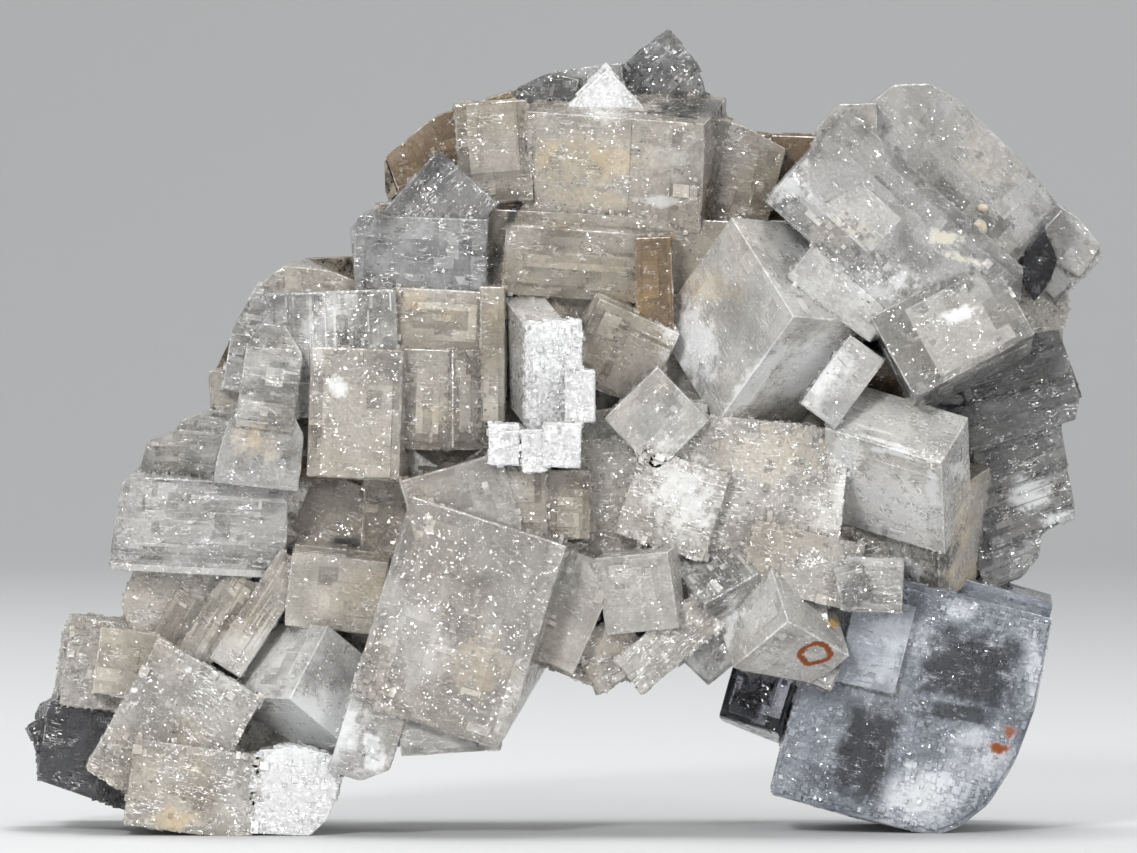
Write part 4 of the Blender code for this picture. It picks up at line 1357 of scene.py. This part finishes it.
BACK_PLACES = ((880, 250), (1000, 390), (930, 500), (800, 545), (690, 560), (585, 560), (470, 640),
               (390, 560), (290, 600), (220, 700), (140, 690), (790, 410), (690, 440), (620, 330),
               (730, 300), (860, 350), (930, 680), (860, 640), (980, 300), (560, 450), (420, 700))
BACK_REACH = (62.0, 118.0)        # how far back they reach
BACK_SIZE = (74.0, 116.0)
BACK_FRONT = -40.0
BACK_SEED = 7
BACK_SALTS = (Salt.CLOUDY, Salt.FROSTED, Salt.BEIGE, Salt.CLEAVED, Salt.SMOKY)


def back_crystals() -> tuple[Crystal, ...]:
    """The cubes that close the back, each a little out of line."""
    chance = random.Random(BACK_SEED)
    found = []
    for number, place in enumerate(BACK_PLACES, start=1):
        width, height = chance.uniform(*BACK_SIZE), chance.uniform(*BACK_SIZE)
        reach = chance.uniform(*BACK_REACH)
        roll, yaw, pitch = chance.uniform(-35, 35), chance.uniform(-18, 18), chance.uniform(-18, 18)
        found.append(facing(f"back_{number}", place, BACK_FRONT, (width, height, reach - BACK_FRONT), roll,
                            BACK_SALTS[number % len(BACK_SALTS)], yaw, pitch))
    return tuple(found)


BACK = back_crystals()


@dataclass(frozen=True)
class PlainFinish:
    """A mineral that isn't salt: its two colours, how rough it is, and its grain.

    Attributes:
        name: the mineral.
        light: its light colour.
        dark: its dark colour.
        roughness: of the surface.
        grain_per_mm: how fine its grain is.
        relief_mm: how deep its grain is.
        pores: share of it that is dark pores, 0 to 1.
    """

    name: str
    light: tuple[float, float, float]
    dark: tuple[float, float, float]
    roughness: float
    grain_per_mm: float
    relief_mm: float
    pores: float

    def build(self) -> bpy.types.Material:
        """Colour from dark to light along noise, with dark pores at the middles of some cells."""
        s = Shade(self.name)
        place = s.vector("MULTIPLY", s.wire(s.node("ShaderNodeTexCoord"), "Object"), (1000.0,) * 3)
        coarse = s.noise(place, self.grain_per_mm * 0.4, 5.0, 0.65)
        grain = s.noise(place, self.grain_per_mm * 3.0, 4.0, 0.7)
        cell = s.wire(s.cells(place, self.grain_per_mm * 1.3), "Distance")
        pore = s.smooth(cell + 0.6 * coarse, 0.15 + 0.5 * self.pores, 0.30 + 0.5 * self.pores, 1.0, 0.0)
        colour = s.mix(s.smooth(coarse + 0.4 * grain, 0.55, 0.85), self.dark, self.light)
        colour = s.mix(pore * 0.9, colour, tuple(0.25 * part for part in self.dark))
        height = self.relief_mm * (coarse + 0.4 * grain - 0.8 * pore)
        bump = s.wire(s.node("ShaderNodeBump", {}, {"Strength": 1.0, "Distance": 0.001, "Height": height}))
        rough = s.smooth(grain, 0.3, 0.7, self.roughness * 0.8, min(1.0, self.roughness * 1.15))
        shader = s.node("ShaderNodeBsdfPrincipled", {},
                        {"Base Color": colour, "Roughness": rough, "Normal": bump})
        s.node("ShaderNodeOutputMaterial", {}, {"Surface": s.wire(shader)})
        return s.material


CLAY = PlainFinish("salt_clay", (0.34, 0.30, 0.24), (0.035, 0.028, 0.02), 0.85, 0.9, 0.35, 0.5)
ANHYDRITE = PlainFinish("anhydrite", (0.66, 0.62, 0.52), (0.45, 0.40, 0.30), 0.6, 1.2, 0.12, 0.15)


@dataclass(frozen=True)
class Grain:
    """A cream grain in its socket.

    Attributes:
        node: the part's node it stands for.
        rows: rings from pole to pole.
        columns: points round a ring.
        lumps: how uneven it is, as a share of its radius.
    """

    node: str
    rows: int = 20
    columns: int = 32
    lumps: float = 0.10

    def build(self, material: bpy.types.Material) -> bpy.types.Object:
        """An uneven egg in the node's box.

        A point at latitude v and longitude u lies at (cos v cos u, cos v sin u, sin v) times
        the box's half sides, drawn in by a few sine waves of the direction.

        Args:
            material: its finish.

        Returns:
            The object.
        """
        low, high = (np.array(corner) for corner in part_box(self.node))
        v = np.linspace(-math.pi / 2, math.pi / 2, self.rows + 1)[1:-1, None]
        u = np.linspace(0, 2 * math.pi, self.columns, endpoint=False)[None, :]
        ring = np.stack([np.cos(v) * np.cos(u), np.cos(v) * np.sin(u), np.sin(v) + 0 * u], axis=-1)
        way = np.vstack([[[0, 0, -1]], ring.reshape(-1, 3), [[0, 0, 1]]])
        wave = np.sin(way @ np.array([3.1, -2.2, 4.0]) + 1.0) * np.sin(way @ np.array([-2.0, 5.0, 1.3]))
        points = (low + high) / 2 + way * (high - low) / 2 * (1 - self.lumps * (0.5 + 0.5 * wave))[:, None]
        index = 1 + np.arange((self.rows - 1) * self.columns).reshape(self.rows - 1, self.columns)
        after = np.roll(index, -1, axis=1)
        quads = np.stack([index[:-1], after[:-1], after[1:], index[1:]], axis=-1).reshape(-1, 4)
        last = len(points) - 1
        south = np.column_stack([np.zeros(self.columns, int), after[0], index[0]])
        north = np.column_stack([np.full(self.columns, last), index[-1], after[-1]])
        mesh = bpy.data.meshes.new(self.node + "_skin")
        mesh.from_pydata(points.tolist(), [], [*quads.tolist(), *south.tolist(), *north.tolist()])
        mesh.shade_smooth()
        mesh.materials.append(material)
        item = bpy.data.objects.new(self.node + "_skin", mesh)
        bpy.context.scene.collection.objects.link(item)
        return item


@dataclass
class Studio:
    """A pale sweep, soft lights and the camera.

    Attributes:
        distance: from the camera to the cluster, in metres.
        elevation: degrees the camera looks down.
        sweep_back: how far behind the cluster the sweep turns up.
        sweep_radius: radius of that turn.
    """

    distance: float = 2.6
    elevation: float = 1.6
    sweep_back: float = 1.1
    sweep_radius: float = 0.7

    def sweep(self) -> bpy.types.Object:
        """A floor that turns up into a backdrop: flat, a quarter circle, then straight up, carried across."""
        angle = np.linspace(0, math.pi / 2, 25)
        away = np.concatenate([[-5.0], self.sweep_back + self.sweep_radius * np.sin(angle),
                               [self.sweep_back + self.sweep_radius]])
        height = np.concatenate([[0.0], self.sweep_radius * (1 - np.cos(angle)), [4.0]])
        across = np.array([-5.0, 5.0])
        points = np.stack([np.tile(across, (len(away), 1)), np.tile(away[:, None], (1, 2)),
                           np.tile(height[:, None], (1, 2))], axis=-1).reshape(-1, 3)
        row = 2 * np.arange(len(away) - 1)
        mesh = bpy.data.meshes.new("sweep")
        mesh.from_pydata(points.tolist(), [], np.column_stack([row, row + 1, row + 3, row + 2]).tolist())
        mesh.shade_smooth()
        s = Shade("pale_sweep")
        paper = s.node("ShaderNodeBsdfPrincipled", {}, {"Base Color": (0.54, 0.545, 0.55), "Roughness": 0.7})
        s.node("ShaderNodeOutputMaterial", {}, {"Surface": s.wire(paper)})
        mesh.materials.append(s.material)
        item = bpy.data.objects.new("sweep", mesh)
        bpy.context.scene.collection.objects.link(item)
        return item

    def light(self, name: str, place: tuple[float, float, float], size: float, power: float,
              colour: tuple[float, float, float] = (1.0, 1.0, 1.0)) -> None:
        """A square soft light that looks at the middle of the cluster.

        Args:
            name: what it is called.
            place: where it hangs, in metres.
            size: its side.
            power: in watts.
            colour: its colour.
        """
        lamp = bpy.data.lights.new(name, "AREA")
        lamp.size, lamp.energy, lamp.color = size, power, colour
        item = bpy.data.objects.new(name, lamp)
        item.location = place
        toward = self.aim() - item.location
        item.rotation_euler = toward.to_track_quat("-Z", "Y").to_euler()
        bpy.context.scene.collection.objects.link(item)

    def aim(self) -> "bpy.types.Vector":
        """The middle of the frame, on the cluster's middle plane."""
        middle = on_grid(FRAME_ACROSS / 2, FRAME_DOWN / 2, MIDDLE_DEPTH) * MM
        return type(bpy.data.objects[0].location)(middle)

    def camera(self) -> None:
        """A long lens that sees the grid's frame from edge to edge: lens = sensor * distance / width."""
        lens = bpy.data.cameras.new("camera")
        lens.sensor_width = 36.0
        lens.lens = lens.sensor_width * self.distance / (FRAME_ACROSS * STEP_MM * MM)
        lens.clip_end = 20.0
        item = bpy.data.objects.new("camera", lens)
        rise = math.radians(self.elevation)
        back = type(self.aim())((0.0, -math.cos(rise), math.sin(rise)))
        item.location = self.aim() + back * self.distance
        item.rotation_euler = (-back).to_track_quat("-Z", "Y").to_euler()
        bpy.context.scene.collection.objects.link(item)
        bpy.context.scene.camera = item

    def build(self) -> None:
        """Set up everything."""
        self.sweep()
        self.light("key", (-0.35, -1.0, 0.65), 0.20, 8.0)
        self.light("fill", (0.8, -1.0, 0.30), 0.30, 4.4)
        self.light("low", (-0.64, -1.10, 0.02), 0.22, 5.5)
        self.light("top", (0.1, 0.1, 1.0), 0.35, 7.0)
        self.light("back", (-0.7, 0.7, 0.5), 0.5, 4.0)
        world = bpy.data.worlds.new("room")
        world.use_nodes = True
        world.node_tree.nodes["Background"].inputs["Color"].default_value = (0.80, 0.80, 0.80, 1.0)
        world.node_tree.nodes["Background"].inputs["Strength"].default_value = 0.70
        bpy.context.scene.world = world
        bpy.context.scene.view_settings.view_transform = "Standard"
        self.camera()


MARKS: dict[str, tuple[Mark, ...]] = {
    "underside": (
        Mark(Effect.RUST, (813, 648), (18, 12), 12, 1.0, 0.14, True),
        Mark(Effect.YELLOW, (832, 618), (7, 6), 0, 0.8),
        Mark(Effect.WHITE, (728, 615), (12, 34), -15, 0.5),
        Mark(Effect.GLITTER, (722, 600), (26, 40), 0, 0.7)),
    "right_foot": (
        Mark(Effect.RUST, (995, 743), (12, 7), 0, 1.0, 0.5),
        Mark(Effect.RUST, (1008, 727), (8, 9), 0, 0.9, 0.5),
        # Painted shade: dark windows where the clear foot shows only dark behind it.
        Mark(Effect.DARK, (968, 664), (52, 40), -14.5, 0.92, 0.22, square=True),
        Mark(Effect.DARK, (956, 709), (44, 10), -8, 0.85, 0.2, square=True),
        Mark(Effect.DARK, (864, 748), (32, 56), -14.5, 0.95, 0.22, square=True),
        Mark(Effect.DARK, (884, 704), (24, 28), -14.5, 0.5, 0.25, square=True),
        Mark(Effect.DARK, (826, 776), (28, 13), -14.5, 0.5, 0.25, square=True),
        Mark(Effect.WHITE, (884, 758), (2.2, 30), -6, 0.35, 0.12),
        Mark(Effect.WHITE, (989, 640), (22, 2.5), -14.5, 0.35, 0.08),
        Mark(Effect.WHITE, (918, 792), (50, 34), 14, 0.75, 0.3),
        Mark(Effect.WHITE, (965, 766), (56, 30), 24, 0.45, 0.3),
        Mark(Effect.WHITE, (912, 634), (50, 22), -14, 0.35, 0.3),
        Mark(Effect.WHITE, (880, 690), (30, 50), -20, 0.25, 0.3),
        Mark(Effect.WHITE, (960, 606), (24, 13), -8, 0.45, 0.3),
        Mark(Effect.WHITE, (972, 736), (34, 14), 0, 0.4, 0.3),
        Mark(Effect.WHITE, (1036, 676), (14, 66), 11, 0.45, 0.3),
        Mark(Effect.GLITTER, (820, 780), (14, 34), 0, 0.7)),
    "upper_right": (
        Mark(Effect.BEIGE, (838, 228), (38, 22), 0, 0.35),
        Mark(Effect.WHITE, (800, 210), (34, 40), -20, 0.15, 0.3),
        Mark(Effect.WHITE, (870, 280), (50, 30), 0, 0.20, 0.4),
        # Painted shade: the dark seen through the clear crystals at the right edge.
        Mark(Effect.DARK, (1024, 366), (44, 20), 16, 0.45, 0.4),
        Mark(Effect.DARK, (1046, 470), (26, 12), 18, 0.35, 0.4),
        Mark(Effect.BEIGE, (985, 160), (44, 30), -40, 0.35),
        Mark(Effect.CREAM, (940, 236), (21, 8), -8, 0.8),
        Mark(Effect.CREAM, (962, 256), (26, 5), -14, 0.6),
        Mark(Effect.WHITE, (788, 186), (18, 30), -20, 0.6),
        Mark(Effect.WHITE, (955, 312), (24, 8), 20, 0.7),
        Mark(Effect.WHITE, (884, 284), (32, 14), 10, 0.55),
        Mark(Effect.GLITTER, (870, 275), (46, 26), 10, 0.6),
        Mark(Effect.WHITE, (1030, 492), (26, 18), 18, 0.6),
        Mark(Effect.WHITE, (1058, 516), (18, 10), 20, 0.6)),
    "front": (
        Mark(Effect.WHITE, (688, 338), (30, 48), 25, 0.75, 0.4),
        Mark(Effect.GLITTER, (692, 335), (34, 50), 20, 0.8),
        Mark(Effect.BEIGE, (708, 286), (34, 20), 0, 0.5),
        Mark(Effect.WHITE, (752, 380), (60, 13), 53, 0.65, 0.3),
        # Painted light: lifts the corner cube's downward face out of its shade.
        Mark(Effect.WHITE, (806, 368), (60, 34), 30, 0.45, 0.3),
        Mark(Effect.WHITE, (790, 240), (40, 26), 0, 0.35, 0.3),
        Mark(Effect.WHITE, (880, 420), (60, 22), -10, 0.15, 0.3),
        # Painted light: lifts the lower part of the window cube's front face out of its shade.
        Mark(Effect.WHITE, (878, 508), (80, 46), -8, 0.55, 0.2),
        Mark(Effect.BEIGE, (966, 500), (20, 50), 0, 0.35, 0.2),
        Mark(Effect.WHITE, (846, 466), (14, 34), -12, 0.6),
        Mark(Effect.WHITE, (890, 446), (24, 4), -4, 0.8),
        Mark(Effect.WHITE, (929, 490), (7, 34), 4, 0.55),
        Mark(Effect.WHITE, (956, 466), (12, 10), 0, 0.5),
        Mark(Effect.BEIGE, (962, 522), (16, 26), 0, 0.6),
        Mark(Effect.WHITE, (905, 566), (28, 16), 0, 0.6),
        Mark(Effect.BEIGE, (965, 572), (24, 18), 20, 0.6),
        Mark(Effect.WHITE, (553, 340), (26, 30), 0, 0.35),
        Mark(Effect.GLITTER, (553, 372), (28, 58), 0, 0.8),
        Mark(Effect.WHITE, (678, 486), (36, 50), 20, 0.55),
        Mark(Effect.WHITE, (584, 617), (9, 9), 0, 0.9, 0.3),
        Mark(Effect.WHITE, (884, 438), (34, 2.5), -16, 0.8, 0.08),
        Mark(Effect.WHITE, (896, 450), (30, 2), -16, 0.6, 0.08),
        Mark(Effect.WHITE, (872, 425), (26, 2), -16, 0.5, 0.08),
        Mark(Effect.WHITE, (840, 452), (14, 26), -14, 0.55, 0.3),
        Mark(Effect.GLITTER, (848, 458), (14, 34), 0, 0.8),
        Mark(Effect.DARK, (884, 531), (4, 8), 0, 0.5, 0.3),
        Mark(Effect.YELLOW, (962, 560), (20, 30), 0, 0.12),
        Mark(Effect.GLITTER, (900, 570), (34, 24), 0, 0.8),
        Mark(Effect.BEIGE, (770, 452), (60, 30), 0, 0.35)),
    "upper_left": (
        Mark(Effect.WHITE, (322, 330), (22, 50), -24, 0.45, 0.4),
        Mark(Effect.WHITE, (425, 262), (70, 60), 0, 0.25, 0.3),
        Mark(Effect.WHITE, (340, 384), (9, 10), 0, 0.7, 0.5),
        Mark(Effect.YELLOW, (252, 432), (16, 12), 0, 0.22),
        Mark(Effect.YELLOW, (415, 296), (16, 14), 0, 0.18),
        Mark(Effect.YELLOW, (448, 312), (16, 10), 0, 0.18),
        Mark(Effect.YELLOW, (440, 408), (22, 12), 0, 0.12),
        # Painted shade in a gap between crystals.
        Mark(Effect.DARK, (514, 211), (6, 20), -24, 0.9, 0.15),
        Mark(Effect.GLITTER, (325, 330), (34, 66), -18, 0.6),
        Mark(Effect.BEIGE, (262, 440), (30, 18), 0, 0.5)),
    "left_foot": (
        Mark(Effect.WHITE, (262, 655), (60, 40), 0, 0.35, 0.3),
        # Painted light: lifts the blue cube's downward faces out of their shade.
        Mark(Effect.WHITE, (315, 720), (66, 44), 0, 0.70, 0.2),
        Mark(Effect.YELLOW, (478, 660), (30, 34), 0, 0.10),
        Mark(Effect.YELLOW, (190, 812), (26, 10), 0, 0.15),
        Mark(Effect.WHITE, (420, 640), (36, 60), -15, 0.25, 0.3),
        Mark(Effect.BEIGE, (488, 650), (30, 40), 0, 0.35, 0.4),
        Mark(Effect.DARK, (482, 575), (13, 10), 10, 0.35, 0.5),
        Mark(Effect.DARK, (457, 616), (16, 12), 0, 0.30, 0.5),
        Mark(Effect.DARK, (400, 660), (16, 7), 20, 0.30, 0.5),
        Mark(Effect.WHITE, (372, 740), (12, 34), 24, 0.7),
        Mark(Effect.WHITE, (335, 722), (8, 26), 38, 0.5),
        Mark(Effect.WHITE, (137, 685), (4, 3), 0, 1.0, 0.2),
        Mark(Effect.WHITE, (191, 665), (4, 4), 0, 1.0, 0.2),
        Mark(Effect.WHITE, (581, 539), (6, 6), 0, 0.9, 0.2),
        Mark(Effect.BEIGE, (170, 812), (26, 14), 0, 0.5)),
    "root": (
        # Painted shade: the dark gaps between crystals.
        Mark(Effect.DARK, (350, 545), (20, 13), -12, 1.0, 0.3),
        Mark(Effect.DARK, (870, 392), (30, 22), 0, 0.6, 0.4),
        Mark(Effect.DARK, (514, 211), (6, 20), -24, 0.9, 0.15),
        Mark(Effect.DARK, (495, 262), (8, 26), -20, 0.8, 0.2)),
    "top": (
        Mark(Effect.DARK, (690, 108), (38, 14), 0, 0.8),
        Mark(Effect.YELLOW, (548, 152), (16, 20), 0, 0.16),
        Mark(Effect.YELLOW, (614, 160), (26, 16), 0, 0.16),
        Mark(Effect.YELLOW, (588, 196), (44, 16), -8, 0.13),
        Mark(Effect.YELLOW, (636, 298), (20, 18), 0, 0.16),
        Mark(Effect.YELLOW, (575, 262), (30, 14), 0, 0.10),
        Mark(Effect.WHITE, (672, 156), (34, 16), 0, 0.14),
        Mark(Effect.GLITTER, (607, 106), (40, 34), 0, 1.0),
        Mark(Effect.WHITE, (604, 100), (26, 26), 0, 0.5, 0.2),
        Mark(Effect.GLITTER, (664, 76), (34, 40), 0, 0.5),
        # Painted shade in a gap between crystals.
        Mark(Effect.DARK, (514, 211), (6, 20), -24, 0.9, 0.15),
        Mark(Effect.BEIGE, (590, 160), (60, 30), 0, 0.4),
        Mark(Effect.WHITE, (664, 200), (30, 6), 0, 0.5)),
}


def outcrops() -> list[Outcrop]:
    """The cluster's crystals in groups."""
    return [Outcrop("right_foot", RIGHT_FOOT), Outcrop("underside", UNDERSIDE),
            Outcrop("left_foot", LEFT_FOOT + STAIRS), Outcrop("upper_left", UPPER_LEFT),
            Outcrop("top", TOP), Outcrop("upper_right", UPPER_RIGHT), Outcrop("front", FRONT),
            Outcrop("root", ROOT), Outcrop("back", BACK, looks=1)]


def main() -> None:
    """Build, dress and stage the cluster."""
    logging.basicConfig(level=logging.INFO, format="%(message)s")
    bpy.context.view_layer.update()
    groups = outcrops()
    neighbours = Neighbours(tuple(crystal for group in groups for crystal in group.crystals))
    druses = (Druse(neighbours),)
    for group in groups:
        salts = {}
        for salt in dict.fromkeys(crystal.salt for crystal in group.crystals):
            marks = tuple(mark for mark in MARKS.get(group.name, ())
                          if any(mark.touches(crystal) for crystal in group.crystals if crystal.salt is salt))
            name = f"{group.name if marks else 'plain'}_{salt.value}_salt"
            made = bpy.data.materials.get(name) or SaltShader(name, FINISHES[salt], marks).build()
            salts[group.name, salt] = made
        for piece in group.build(salts, druses):
            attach(piece, "root")
            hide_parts("halite_cluster")
            log.info("%s: %d faces", piece.name, len(piece.data.polygons))
    clay = frame["nodes"]["clay_matrix"]
    clay.data.materials.clear()
    clay.data.materials.append(CLAY.build())
    cream = ANHYDRITE.build()
    for node in ("anhydrite_grain_upper", "anhydrite_grain_lower"):
        piece = Grain(node).build(cream)
        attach(piece, "root")
        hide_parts(node)
        log.info("%s: %d faces", piece.name, len(piece.data.polygons))
    Studio().build()


if __name__ == "__main__":
    main()
